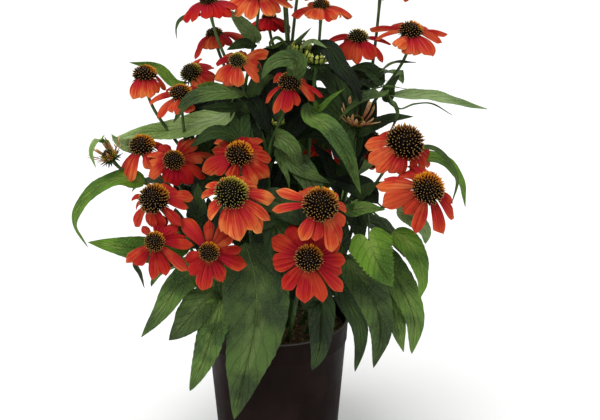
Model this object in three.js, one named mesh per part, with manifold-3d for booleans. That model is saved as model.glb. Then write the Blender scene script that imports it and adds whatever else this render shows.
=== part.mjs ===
// A flowering coneflower in its nursery pot.
// Millimetres, +Z up, the origin at the middle of the pot's underside.
// Pot, soil, branching stalks, flower heads and leaves are separate closed solids.
// Whatever touches keeps a gap of CLEARANCE to its neighbour.

import * as THREE from 'three';
import { mergeVertices } from 'three/addons/utils/BufferGeometryUtils.js';
import Module from 'manifold-3d';

const wasm = await Module();
wasm.setup();

// ---------------------------------------------------------------- driving dimensions

const CLEARANCE = 0.3;
const CUT_BACK = 0.4;

const POT = {
  height: 168, rimRadius: 82.5, lipHeight: 3.5, collarTop: 81.3, collarBottom: 79.6, collarEnd: 141,
  step: 0.8, waistRadius: 70.5, waistHeight: 34, footRadius: 64, footRound: 7,
  wall: 1.5, floor: 2.2, sides: 28,
};
const DRAIN = { count: 6, radius: 6, circle: 48, sides: 8 };
const SOIL = { edgeHeight: 153, crownHeight: 157, seam: 40 };
const CROWN = { spread: 0.17, nearest: 9, farthest: 27, depth: 24 };
const STEM = {
  trunk: 2.9, branch: 2.2, sides: 6, trunkSteps: 4, branchSteps: 4, neck: 3,
  lean: 0.62, bend: 0.42,
};
const LEAF = { thickness: 1.2, petiole: 1.7, stations: 6, bladeStart: 0.12, rootGap: 0.5 };
const HEAD = {
  ringShare: 0.62, domeShare: 1.2, keel: 4, rayThickness: 1.8, rayWidth: 0.2, raySpacing: 0.41,
  edgeRoom: 3.5, keelRoom: 5,
};

// Flower heads: middle of the cone, the way the head faces (compass angle and tilt from
// upright), cone radius, ray length, first and last angle of a ray, number of rays.
const FLOWERS = [
  { name: 'f01', at: [-68, -35, 533], face: [170, 8], cone: 10, ray: 27, bend: [-2, -52], rays: 12 },
  { name: 'f02', at: [-65, 0, 497], face: [160, 10], cone: 10, ray: 29, bend: [-8, -62], rays: 12 },
  { name: 'f03', at: [-136, -30, 462], face: [-90, 6], cone: 14, ray: 26, bend: [-30, -80], rays: 12 },
  { name: 'f04', at: [-93, 0, 454], face: [-130, 38], cone: 13, ray: 30, bend: [-12, -60], rays: 12 },
  { name: 'f05', at: [-96, -62, 449], face: [-90, 18], cone: 13, ray: 31, bend: [-5, -55], rays: 12 },
  { name: 'f06', at: [-38, -50, 479], face: [-90, 30], cone: 10, ray: 29, bend: [-8, -58], rays: 12 },
  { name: 'f07', at: [-8, 70, 500], face: [90, 14], cone: 9, ray: 22, bend: [-10, -60], rays: 11 },
  { name: 'f08', at: [-18, -15, 543], face: [-100, 12], cone: 12, ray: 29, bend: [0, -50], rays: 12 },
  { name: 'f09', at: [48, -20, 531], face: [-80, 8], cone: 10, ray: 30, bend: [0, -48], rays: 12 },
  { name: 'f10', at: [88, 0, 494], face: [-70, 12], cone: 12, ray: 31, bend: [-10, -66], rays: 12 },
  { name: 'f11', at: [142, -12, 504], face: [-90, 16], cone: 14, ray: 36, bend: [-4, -46], rays: 12 },
  { name: 'f12', at: [113, 30, 548], face: [60, 8], cone: 12, ray: 29, bend: [-4, -54], rays: 12 },
  { name: 'f13', at: [16, -60, 457], face: [-90, 26], cone: 13, ray: 31, bend: [-10, -62], rays: 12 },
  { name: 'f14', at: [136, -85, 401], face: [-50, 38], cone: 19, ray: 34, bend: [-16, -58], rays: 13 },
  { name: 'f15', at: [154, -125, 365], face: [-68, 50], cone: 16, ray: 40, bend: [-12, -52], rays: 13 },
  { name: 'f16', at: [-141, -45, 388], face: [-100, 28], cone: 13, ray: 34, bend: [-22, -74], rays: 12 },
  { name: 'f17', at: [-104, -75, 379], face: [-80, 44], cone: 11, ray: 31, bend: [-12, -58], rays: 12 },
  { name: 'f18', at: [-120, -122, 355], face: [-110, 44], cone: 16, ray: 32, bend: [-16, -62], rays: 13 },
  { name: 'f19', at: [-120, -145, 315], face: [-96, 56], cone: 11, ray: 35, bend: [-12, -50], rays: 13 },
  { name: 'f20', at: [-65, -145, 303], face: [-86, 62], cone: 11, ray: 36, bend: [-8, -42], rays: 13 },
  { name: 'f21', at: [-36, -88, 391], face: [-90, 45], cone: 13, ray: 33, bend: [-12, -56], rays: 12 },
  { name: 'f22', at: [-42, -150, 370], face: [-94, 46], cone: 18, ray: 42, bend: [-18, -62], rays: 13 },
  { name: 'f23', at: [47, -155, 360], face: [-84, 46], cone: 18, ray: 41, bend: [-16, -60], rays: 13 },
  { name: 'f24', at: [35, -145, 297], face: [-90, 58], cone: 15, ray: 39, bend: [-8, -46], rays: 12 },
  { name: 'f25', at: [8, 62, 536], face: [100, 10], cone: 11, ray: 26, bend: [-6, -58], rays: 12 },
  { name: 'f26', at: [8, -20, 590], face: [-120, 6], cone: 13, ray: 31, bend: [-2, -54], rays: 12 },
  { name: 'f27', at: [30, 28, 582], face: [30, 8], cone: 12, ray: 28, bend: [-6, -60], rays: 12 },
  { name: 'f28', at: [-92, 97, 347], face: [134, 48], cone: 15, ray: 36, bend: [-14, -58], rays: 12 },
  { name: 'f29', at: [-42, 132, 330], face: [106, 56], cone: 14, ray: 37, bend: [-12, -52], rays: 12 },
  { name: 'f30', at: [12, 140, 385], face: [88, 44], cone: 16, ray: 38, bend: [-14, -60], rays: 13 },
  { name: 'f31', at: [58, 132, 342], face: [68, 56], cone: 14, ray: 36, bend: [-12, -50], rays: 12 },
  { name: 'f32', at: [112, 98, 352], face: [42, 48], cone: 15, ray: 36, bend: [-14, -60], rays: 12 },
];

// Flower buds and heads that have dropped their rays: middle, direction, radius.
const BUDS = [
  { name: 'b1', at: [28, -10, 477], face: [-90, 6], radius: 8 },
  { name: 'b2', at: [43, -30, 473], face: [-60, 10], radius: 9 },
  { name: 'b3', at: [6, -90, 426], face: [-100, 20], radius: 7 },
  { name: 'b4', at: [101, -40, 418], face: [-80, 30], radius: 8 },
  { name: 'b5', at: [-174, -60, 378], face: [-150, 30], radius: 10 },
];

// Stalks: what each one carries, and the place where it forks.
const STALKS = [
  { name: 'stalk_01', carries: ['f05', 'f03', 'f04'], fork: [-90, -30, 350] },
  { name: 'stalk_02', carries: ['f02', 'f01', 'f08'], fork: [-34, -14, 405] },
  { name: 'stalk_03', carries: ['f06', 'f13', 'b3'], fork: [-8, -48, 365] },
  { name: 'stalk_04', carries: ['f07', 'f25', 'f27', 'f26'], fork: [14, 26, 420] },
  { name: 'stalk_05', carries: ['f09', 'b1', 'b2'], fork: [38, -18, 405] },
  { name: 'stalk_06', carries: ['f10', 'f11', 'f12'], fork: [92, 4, 385] },
  { name: 'stalk_07', carries: ['f14', 'f15', 'b4'], fork: [80, -52, 285] },
  { name: 'stalk_08', carries: ['f16', 'f17', 'b5'], fork: [-88, -42, 298] },
  { name: 'stalk_09', carries: ['f18', 'f19', 'f20'], fork: [-62, -84, 232] },
  { name: 'stalk_10', carries: ['f21', 'f22'], fork: [-26, -68, 290] },
  { name: 'stalk_11', carries: ['f23', 'f24'], fork: [24, -82, 235] },
  { name: 'stalk_12', carries: ['f28', 'f29'], fork: [-44, 78, 248] },
  { name: 'stalk_13', carries: ['f30', 'f31', 'f32'], fork: [42, 80, 255] },
];

// Leaves: where the leaf grows from (stalk, what the branch carries or null for the trunk,
// how far along), the midrib's further points, half width, and the way the upper side faces.
const LEAVES = [
  { from: ['stalk_10', null, 0.72], rib: [[-14, -80, 262], [-19, -106, 214], [-30, -110, 155],
    [-47, -98, 86]], half: 34, up: [-0.1, -1, 0.35] },
  { from: ['stalk_09', null, 0.74], rib: [[-62, -84, 214], [-70, -95, 192], [-83, -97, 154],
    [-95, -87, 112]], half: 13, up: [-0.5, -1, 0.15] },
  { from: ['stalk_09', null, 0.9], rib: [[-64, -86, 234], [-78, -97, 225], [-95, -98, 204],
    [-115, -90, 178]], half: 19, up: [-0.3, -0.9, 0.5] },
  { from: ['stalk_07', null, 0.55], rib: [[74, -60, 250], [97, -88, 234], [113, -98, 200],
    [106, -86, 143]], half: 23, up: [0.1, -1, 0.4] },
  { from: ['stalk_07', null, 0.75], rib: [[104, -48, 262], [133, -70, 236], [150, -76, 197],
    [150, -68, 151]], half: 19, up: [0.5, -0.9, 0.4] },
  { from: ['stalk_07', 'f15', 0.3], rib: [[90, -82, 303], [99, -105, 292], [110, -115, 272],
    [121, -112, 250]], half: 23, up: [0.1, -1, 0.35] },
  { from: ['stalk_07', 'f14', 0.3], rib: [[117, -65, 292], [138, -88, 290], [152, -98, 266],
    [154, -92, 228]], half: 18, up: [0.6, -0.8, 0.5] },
  { from: ['stalk_05', 'b1', 0.4], rib: [[28, -45, 426], [50, -76, 414], [70, -98, 390],
    [84, -104, 347]], half: 17, up: [0.3, -0.8, 0.7] },
  { from: ['stalk_06', 'f11', 0.48], rib: [[124, -18, 441], [153, -34, 445], [190, -46, 433],
    [221, -50, 422]], half: 12, up: [0, -0.25, 1] },
  { from: ['stalk_02', 'f02', 0.35], rib: [[-60, -30, 424], [-90, -46, 424], [-128, -58, 410],
    [-171, -60, 387]], half: 12, up: [0, -0.35, 1] },
  { from: ['stalk_08', 'b5', 0.84], rib: [[-180, -66, 362], [-200, -76, 350], [-213, -78, 320],
    [-197, -74, 281]], half: 11, up: [-0.5, -0.5, 0.6] },
  { from: ['stalk_08', null, 0.85], rib: [[-110, -62, 290], [-150, -76, 300], [-176, -84, 297],
    [-198, -80, 286]], half: 13, up: [0, -0.5, 0.9] },
  { from: ['stalk_12', null, 0.8], rib: [[-34, 92, 268], [-40, 130, 270], [-52, 168, 236],
    [-60, 188, 180]], half: 22, up: [-0.2, 0.8, 0.7] },
];

const FINISH = {
  pot: { color: 0x2a1f1f, roughness: 0.42 },
  soil: { color: 0x3a2a20, roughness: 0.97 },
  stalk: { color: 0x5c7a3a, roughness: 0.7 },
  flower: { color: 0xd2381c, roughness: 0.62 },
  leaf: { color: 0x2f5a2a, roughness: 0.6 },
};

// ---------------------------------------------------------------- solids and meshes

function solidOf(geometry) {
  const bare = geometry.clone();
  for (const name of Object.keys(bare.attributes)) {
    if (name !== 'position') bare.deleteAttribute(name);
  }
  const merged = mergeVertices(bare, 1e-3);
  const corners = Array.from(merged.index.array);
  const kept = [];
  for (let i = 0; i < corners.length; i += 3) {
    const [a, b, c] = corners.slice(i, i + 3);
    if (a !== b && b !== c && c !== a) kept.push(a, b, c);
  }
  return new wasm.Manifold(new wasm.Mesh({
    numProp: 3,
    vertProperties: new Float32Array(merged.attributes.position.array),
    triVerts: new Uint32Array(kept),
  }));
}

function meshOf(name, solid, finish) {
  const { vertProperties, triVerts } = solid.getMesh();
  const geometry = new THREE.BufferGeometry();
  geometry.setAttribute('position', new THREE.BufferAttribute(new Float32Array(vertProperties), 3));
  geometry.setIndex(new THREE.BufferAttribute(new Uint32Array(triVerts), 1));
  geometry.computeVertexNormals();
  const mesh = new THREE.Mesh(geometry, new THREE.MeshStandardMaterial({ ...finish, metalness: 0 }));
  mesh.name = name;
  return mesh;
}

function geometryOf(points, triangles) {
  const geometry = new THREE.BufferGeometry();
  const places = points.flatMap((p) => p.toArray());
  geometry.setAttribute('position', new THREE.BufferAttribute(new Float32Array(places), 3));
  geometry.setIndex(triangles);
  return geometry;
}

function vector(place) {
  return new THREE.Vector3(...place);
}

function facing([compass, tilt]) {
  const turn = THREE.MathUtils.degToRad(compass);
  const lean = THREE.MathUtils.degToRad(tilt);
  return new THREE.Vector3(
    Math.sin(lean) * Math.cos(turn), Math.sin(lean) * Math.sin(turn), Math.cos(lean));
}

function largest(solid) {
  return solid.decompose().sort((a, b) => b.volume() - a.volume())[0];
}

// ---------------------------------------------------------------- pot and soil

function lathe(profile) {
  const points = profile.map(([radius, height]) => new THREE.Vector2(radius, height));
  return solidOf(new THREE.LatheGeometry(points, POT.sides).rotateX(Math.PI / 2));
}

// The pot's outer outline from foot to lip, as [radius, height], set in by an amount.
function potOutline(inset) {
  const round = POT.footRound;
  const outline = [];
  for (const turn of [0, 45, 90]) {
    const angle = THREE.MathUtils.degToRad(turn);
    outline.push([
      POT.footRadius + round * Math.sin(angle) * 0.35 - inset,
      round * (1 - Math.cos(angle)),
    ]);
  }
  outline.push([POT.waistRadius - inset, POT.waistHeight]);
  outline.push([POT.collarBottom - POT.step - inset, POT.collarEnd]);
  outline.push([POT.collarBottom - inset, POT.collarEnd + 1]);
  outline.push([POT.collarTop - inset, POT.height - POT.lipHeight]);
  return outline;
}

function makePot() {
  const inside = potOutline(POT.wall).slice(2).reverse();
  const pot = lathe([
    [0, 0],
    ...potOutline(0),
    [POT.rimRadius, POT.height - POT.lipHeight + 0.8],
    [POT.rimRadius, POT.height - 0.8],
    [POT.rimRadius - 0.8, POT.height],
    [POT.collarTop - POT.wall, POT.height],
    ...inside,
    [POT.footRadius - POT.wall - 1, POT.floor],
    [0, POT.floor],
  ]);
  const hole = new THREE.CylinderGeometry(DRAIN.radius, DRAIN.radius, 3 * POT.floor, DRAIN.sides);
  hole.rotateX(Math.PI / 2);
  let drained = pot;
  for (let i = 0; i < DRAIN.count; i += 1) {
    const turn = (2 * Math.PI * i) / DRAIN.count;
    const place = [DRAIN.circle * Math.cos(turn), DRAIN.circle * Math.sin(turn), 0];
    drained = drained.subtract(solidOf(hole).translate(place));
  }
  return drained;
}

function makeSoil() {
  const inset = POT.wall + CLEARANCE;
  const wall = potOutline(inset).slice(2).filter(([, height]) => height < SOIL.edgeHeight);
  const top = potOutline(inset);
  const [collarRadius] = top[top.length - 2];
  return lathe([
    [0, POT.floor + CLEARANCE],
    [POT.footRadius - inset - 1.5, POT.floor + CLEARANCE],
    ...wall,
    [collarRadius, SOIL.edgeHeight],
    [SOIL.seam, SOIL.crownHeight],
    [0, SOIL.crownHeight],
  ]);
}

// ---------------------------------------------------------------- stalks

const heads = new Map();
for (const flower of FLOWERS) {
  const axis = facing(flower.face);
  const rise = flower.cone * HEAD.domeShare;
  const seat = vector(flower.at).addScaledVector(axis, -rise / 2);
  heads.set(flower.name, { seat, axis, stop: HEAD.keel + CLEARANCE });
}
for (const bud of BUDS) {
  heads.set(bud.name, { seat: vector(bud.at), axis: facing(bud.face), stop: 0, radius: bud.radius });
}

function crownPoint(stalk) {
  const middle = new THREE.Vector3();
  for (const name of stalk.carries) middle.add(heads.get(name).seat);
  middle.divideScalar(stalk.carries.length).setZ(0);
  const reach = THREE.MathUtils.clamp(
    middle.length() * CROWN.spread, CROWN.nearest, CROWN.farthest);
  return middle.setLength(reach).setZ(SOIL.crownHeight - CROWN.depth);
}

function trunkCurve(stalk) {
  const root = crownPoint(stalk);
  const fork = vector(stalk.fork);
  const bend = root.clone().lerp(fork, STEM.lean).setZ(THREE.MathUtils.lerp(root.z, fork.z, STEM.bend));
  return new THREE.QuadraticBezierCurve3(root, bend, fork);
}

function branchCurve(stalk, name) {
  const trunk = trunkCurve(stalk);
  const along = trunk.getTangent(1);
  const start = trunk.getPoint(1).addScaledVector(along, -STEM.neck);
  const { seat, axis, stop } = heads.get(name);
  const end = seat.clone().addScaledVector(axis, -stop);
  const reach = start.distanceTo(end) * 0.38;
  return new THREE.CubicBezierCurve3(
    start, start.clone().addScaledVector(along, reach),
    end.clone().addScaledVector(axis, -reach), end);
}

function tube(curve, radius, steps) {
  const section = new THREE.Shape();
  section.absarc(0, 0, radius, 0, 2 * Math.PI);
  const points = section.getSpacedPoints(STEM.sides).slice(0, STEM.sides);
  return solidOf(new THREE.ExtrudeGeometry(new THREE.Shape(points), {
    steps, bevelEnabled: false, extrudePath: curve,
  }));
}

function budSolid({ seat, axis, radius }, grow) {
  const ball = new THREE.SphereGeometry(radius + grow, 8, 5);
  ball.rotateX(Math.PI / 2).scale(1, 1, 0.85);
  ball.applyQuaternion(new THREE.Quaternion().setFromUnitVectors(new THREE.Vector3(0, 0, 1), axis));
  return solidOf(ball.translate(...seat.toArray()));
}

function makeStalk(stalk, grow) {
  let solid = tube(trunkCurve(stalk), STEM.trunk + grow, STEM.trunkSteps);
  for (const name of stalk.carries) {
    solid = solid.add(tube(branchCurve(stalk, name), STEM.branch + grow, STEM.branchSteps));
    const head = heads.get(name);
    if (head.radius) solid = solid.add(budSolid(head, grow));
  }
  return solid;
}

// ---------------------------------------------------------------- flower heads

// One ray floret as three stations of a three-cornered section: flat above, keeled below.
function rayStations(flower, turn, grow) {
  const ring = flower.cone * HEAD.ringShare;
  const out = new THREE.Vector3(Math.cos(turn), Math.sin(turn), 0);
  const side = new THREE.Vector3(-Math.sin(turn), Math.cos(turn), 0);
  const widest = flower.ray * HEAD.rayWidth;
  const stations = [];
  let place = out.clone().multiplyScalar(ring);
  let reached = 0;
  for (const [share, width] of [[0, 0.62], [0.55, 1], [1, 0.6]]) {
    const length = flower.ray * share;
    const middle = (length + reached) / 2 / flower.ray;
    const bend = THREE.MathUtils.degToRad(THREE.MathUtils.lerp(...flower.bend, middle));
    const step = length - reached + (share === 1 ? grow : 0);
    place = place.clone().addScaledVector(out, Math.cos(bend) * step);
    place.z += Math.sin(bend) * step;
    reached = length;
    const over = new THREE.Vector3(0, 0, Math.cos(bend)).addScaledVector(out, -Math.sin(bend));
    const room = 2 * Math.PI * Math.hypot(place.x, place.y) / flower.rays;
    const narrow = Math.min(widest * width, room * HEAD.raySpacing);
    const half = Math.min(narrow + grow * HEAD.edgeRoom, room * 0.499);
    const top = place.clone().addScaledVector(over, grow);
    stations.push({
      left: top.clone().addScaledVector(side, half),
      right: top.clone().addScaledVector(side, -half),
      keel: place.clone().addScaledVector(over, -HEAD.rayThickness - grow * HEAD.keelRoom),
    });
  }
  return stations;
}

function makeFlower(flower, grow) {
  const points = [];
  const triangles = [];
  const put = (point) => points.push(point) - 1;
  const quad = (a, b, c, d) => triangles.push(a, b, c, a, c, d);
  const cone = flower.cone + grow;
  const rise = flower.cone * HEAD.domeShare + grow;

  const rays = [];
  for (let i = 0; i < flower.rays; i += 1) {
    const turn = (2 * Math.PI * i) / flower.rays;
    const stations = rayStations(flower, turn, grow).map(({ left, right, keel }) => (
      { left: put(left), right: put(right), keel: put(keel) }));
    for (let k = 1; k < stations.length; k += 1) {
      const [near, far] = [stations[k - 1], stations[k]];
      quad(near.right, far.right, far.left, near.left);
      quad(near.left, far.left, far.keel, near.keel);
      quad(near.keel, far.keel, far.right, near.right);
    }
    const { left, right, keel } = stations[stations.length - 1];
    triangles.push(left, right, keel);
    const onCone = (radius, height) => put(
      new THREE.Vector3(radius * Math.cos(turn), radius * Math.sin(turn), height));
    rays.push({ ...stations[0], low: onCone(cone, rise * 0.3), high: onCone(cone * 0.66, rise * 0.82) });
  }

  const apex = put(new THREE.Vector3(0, 0, rise));
  const base = put(new THREE.Vector3(0, 0, -HEAD.keel - grow));
  rays.forEach((ray, i) => {
    const next = rays[(i + 1) % rays.length];
    triangles.push(ray.right, ray.left, ray.low);
    triangles.push(ray.left, next.right, next.low);
    triangles.push(ray.left, next.low, ray.low);
    quad(ray.low, next.low, next.high, ray.high);
    triangles.push(ray.high, next.high, apex);
    quad(ray.left, ray.keel, next.keel, next.right);
    triangles.push(ray.keel, base, next.keel);
  });

  const { seat, axis } = heads.get(flower.name);
  const turned = new THREE.Quaternion().setFromUnitVectors(new THREE.Vector3(0, 0, 1), axis);
  const geometry = geometryOf(points, triangles).applyQuaternion(turned);
  return solidOf(geometry.translate(...seat.toArray()));
}

// ---------------------------------------------------------------- leaves

// A leaf starts beside the straight run of its stem, clear of the bark.
function leafCurve(leaf) {
  const [stalkName, carried, share] = leaf.from;
  const stalk = STALKS.find(({ name }) => name === stalkName);
  const stem = carried ? branchCurve(stalk, carried) : trunkCurve(stalk);
  const steps = carried ? STEM.branchSteps : STEM.trunkSteps;
  const bark = (carried ? STEM.branch : STEM.trunk) + CUT_BACK;
  const run = Math.floor(share * steps);
  const near = stem.getPointAt(run / steps);
  const far = stem.getPointAt((run + 1) / steps);
  const middle = near.clone().lerp(far, share * steps - run);
  const along = far.clone().sub(near).normalize();
  const rib = leaf.rib.map(vector);
  const away = rib[0].clone().sub(middle).projectOnPlane(along).normalize();
  const root = middle.addScaledVector(away, bark + LEAF.rootGap);
  return new THREE.CatmullRomCurve3([root, ...rib]);
}

function leafHalfWidth(leaf, share) {
  if (share <= LEAF.bladeStart) return LEAF.petiole;
  const along = (share - LEAF.bladeStart) / (1 - LEAF.bladeStart);
  const outline = Math.sin(Math.PI * along ** 0.72) ** 0.85;
  return LEAF.petiole * 0.5 + (leaf.half - LEAF.petiole * 0.5) * Math.max(outline, 0);
}

function makeLeaf(leaf, grow) {
  const curve = leafCurve(leaf);
  const points = [];
  const triangles = [];
  const faceUp = vector(leaf.up).normalize();
  for (let i = 0; i <= LEAF.stations; i += 1) {
    const share = i / LEAF.stations;
    const place = curve.getPointAt(share);
    const along = curve.getTangentAt(share);
    if (i === LEAF.stations) place.addScaledVector(along, grow);
    const side = along.clone().cross(faceUp).normalize();
    const over = side.clone().cross(along);
    const half = leafHalfWidth(leaf, share) + grow;
    const fold = half * 0.22;
    for (const [across, lift] of [[-half, fold], [0, 0], [half, fold]]) {
      const top = place.clone().addScaledVector(side, across).addScaledVector(over, lift);
      points.push(top.clone().addScaledVector(over, grow));
      points.push(top.clone().addScaledVector(over, -LEAF.thickness - grow));
    }
  }
  const ring = [0, 2, 4, 5, 3, 1];
  for (let i = 0; i < LEAF.stations; i += 1) {
    ring.forEach((a, k) => {
      const b = ring[(k + 1) % ring.length];
      const [near, far] = [i * 6, (i + 1) * 6];
      triangles.push(near + a, near + b, far + b, near + a, far + b, far + a);
    });
  }
  const last = LEAF.stations * 6;
  triangles.push(0, 1, 3, 0, 3, 2, 2, 3, 5, 2, 5, 4);
  triangles.push(last, last + 2, last + 3, last, last + 3, last + 1);
  triangles.push(last + 2, last + 4, last + 5, last + 2, last + 5, last + 3);
  return solidOf(geometryOf(points, triangles));
}

// ---------------------------------------------------------------- assembly

// Each piece is cut back from the pieces made before it, so that nothing overlaps.
const made = [];

function boxesMeet(a, b) {
  return a.min.every((low, i) => low < b.max[i] + CLEARANCE && b.min[i] < a.max[i] + CLEARANCE);
}

function addPiece(name, make, finish) {
  let solid = make(0);
  for (const other of made) {
    if (boxesMeet(solid.boundingBox(), other.box)) solid = solid.subtract(other.make(CUT_BACK));
  }
  solid = largest(solid);
  made.push({ name, make, solid, box: solid.boundingBox(), finish });
}

for (const stalk of STALKS) {
  addPiece(stalk.name, (grow) => makeStalk(stalk, grow), FINISH.stalk);
}
for (const flower of FLOWERS) {
  const name = flower.name.replace('f', 'flower_');
  addPiece(name, (grow) => makeFlower(flower, grow), FINISH.flower);
}
LEAVES.forEach((leaf, i) => {
  const name = `leaf_${String(i + 1).padStart(2, '0')}`;
  addPiece(name, (grow) => makeLeaf(leaf, grow), FINISH.leaf);
});
addPiece('soil', makeSoil, FINISH.soil);

const plant = new THREE.Group();
plant.name = 'coneflower_in_pot';
plant.add(meshOf('pot', makePot(), FINISH.pot));
for (const { name, solid, finish } of made) plant.add(meshOf(name, solid, finish));

export default plant;
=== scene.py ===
# A coneflower in its nursery pot: orange-red rays, spiny cones, quilted leaves, potting soil.
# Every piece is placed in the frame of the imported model, in metres.

import math
import random

import bpy
import numpy as np
from mathutils import Matrix, Vector, noise


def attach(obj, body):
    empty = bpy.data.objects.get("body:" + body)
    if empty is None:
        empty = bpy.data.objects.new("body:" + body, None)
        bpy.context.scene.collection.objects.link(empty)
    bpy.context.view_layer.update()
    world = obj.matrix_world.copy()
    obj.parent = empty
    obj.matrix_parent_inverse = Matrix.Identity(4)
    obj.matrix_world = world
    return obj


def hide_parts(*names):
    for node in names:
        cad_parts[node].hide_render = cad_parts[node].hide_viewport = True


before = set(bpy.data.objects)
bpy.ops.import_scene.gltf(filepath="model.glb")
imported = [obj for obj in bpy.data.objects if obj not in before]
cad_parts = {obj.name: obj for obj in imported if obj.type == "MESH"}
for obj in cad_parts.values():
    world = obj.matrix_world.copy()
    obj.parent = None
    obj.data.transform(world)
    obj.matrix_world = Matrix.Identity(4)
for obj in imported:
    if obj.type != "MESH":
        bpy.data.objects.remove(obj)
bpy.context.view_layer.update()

# ---------------------------------------------------------------- sizes and places, in millimetres

MM = 0.001
GOLDEN_TURN = math.pi * (3 - math.sqrt(5))

CAMERA_PLACE = (26, -1354, 788)
CAMERA_LENS = 78
TILT = math.radians(20.04)
# The way the sun falls, used only to paint sunlight and shade onto the cones' spines.
SUN_SIDE = (0.35, 0.25, 0.9)

# The pot: its side from the foot to the lip as (radius, height), its lip's roundness, its drains.
POT_HEIGHT = 168
POT_RIM = 82.5
POT_FOOT = 64
POT_WALL = 1.5
POT_FLOOR = 2.2
POT_SIDE = [(66.5, 14), (70.5, 34), (75, 92), (78.6, 140), (79.1, 140.7), (79.8, 141.6),
            (80.2, 150), (81.0, 162.8), (81.3, 163.8)]
LIP = 1.9
DRAINS = 6
DRAIN_RADIUS = 6
DRAIN_CIRCLE = 48
SOIL_EDGE = 153
SOIL_CROWN = 157
SOIL_RADIUS = 77
SOIL_RINGS = 46
SOIL_WALL = [(0, 3), (61, 3), (64, 8), (68, 34), (76.2, 138), (SOIL_RADIUS, SOIL_EDGE - 5)]
POT_STEPS = 128
SOIL_STEPS = 150

# Crumbs on the soil: name, finish, number, smallest and largest size.
CRUMBS = [
    ("soil_peat", "crumb_dark", 420, 0.7, 2.0),
    ("soil_bark", "crumb_bark", 170, 0.6, 1.5),
    ("soil_perlite", "crumb_pale", 60, 0.5, 1.1),
]

# Stalks start in the soil, as far out as their heads lean, within limits.
STALK_DEPTH = 24
CROWN_SPREAD = 0.17
CROWN_LEAST = 9
CROWN_MOST = 27
TRUNK_RADIUS = 2.5
BRANCH_RADIUS = 1.75
FORK_OVERLAP = 3

# A trunk's bend, as shares of its way out and up, and how long a branch keeps its first way.
TRUNK_BEND = (0.62, 0.42)
BRANCH_BEND = 0.38

RAY_THICKNESS = 0.4
BRACT_THICKNESS = 0.5
LEAF_THICKNESS = 0.5

# A ray's map across: the share that its width takes, the space beside it, the highest warmth.
MAP_SHARE = 0.9
MAP_MARGIN = 0.05
WARMEST = 9

# A cone 1 in radius: the dome under its spines. Above LARGE_CONE it has more spines and is taller.
DOME_RADIUS = 0.74
DOME_RISE = 0.92
DOME_FLATNESS = 0.3
LARGE_CONE = 15
CONE_SIZE = 0.95
SMALL_CONE_RISE = 0.82
BUD_CONE_SIZE = 0.86
# How strongly the painted sunlight shows on the spines of heads in SUNNY_HEADS, and on the others.
SUNNY_GAIN = 1.45
SHADY_GAIN = 0.66

# How far under its middle a cone is seated, as a share of its radius, and its stem's end, in
# millimetres; how far out rays stand, how wide, and how steeply they may hang.
HEAD_SEAT = 0.6
HEAD_STOP = 4.3
BUD_SEAT = 0.4
BUD_STOP = 1.0
RAY_SEAT = 0.6
FULL_WIDTH = 1.28
SLIM_WIDTH = 1.1
LIMP_DROP = -30
STEEPEST = -88

# Whorls of bracts: length, [first, last] angle, lift. A bud's lengths are shares of its radius.
CALYX_WHORLS = ((8, (-5, -40), -1.2), (7, (-25, -70), -2.4), (5, (-50, -85), -3.6))
BUD_WHORLS = ((1.1, (10, 40), -0.5), (1.1, (-10, 5), -1.5), (0.8, (-30, -60), -2.5))

# The bracts of each whorl: how many, how far out as a share of the cone's radius, half a width.
CALYX_RING = (9, 0.3, 1.6)
BUD_RING = (10, 0.35, 1.5)
BUD_RAYS = 15

# Leaves by shape: the share of the length that is stalk, how deep the teeth bite, and where and
# how fully the blade widens.
PETIOLES = {"broad": 0.13, "lance": 0.12, "oval": 0.0, "heart": 0.0}
BITES = {"broad": 0.07, "lance": 0.04, "oval": 0.05, "heart": 0.2}
LEAF_OUTLINES = {"broad": (0.64, 0.72), "lance": (0.72, 0.86), "oval": (0.5, 0.8)}
VEIN_PAIRS = 8
VEIN_SLANT = 2.1
LEAF_NODES = 13

# Heads before FRONT aren't hidden by inner leaves, and no inner leaf grows from below LOWEST_ROOT.
FRONT = 20
LOWEST_ROOT = 180

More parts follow.
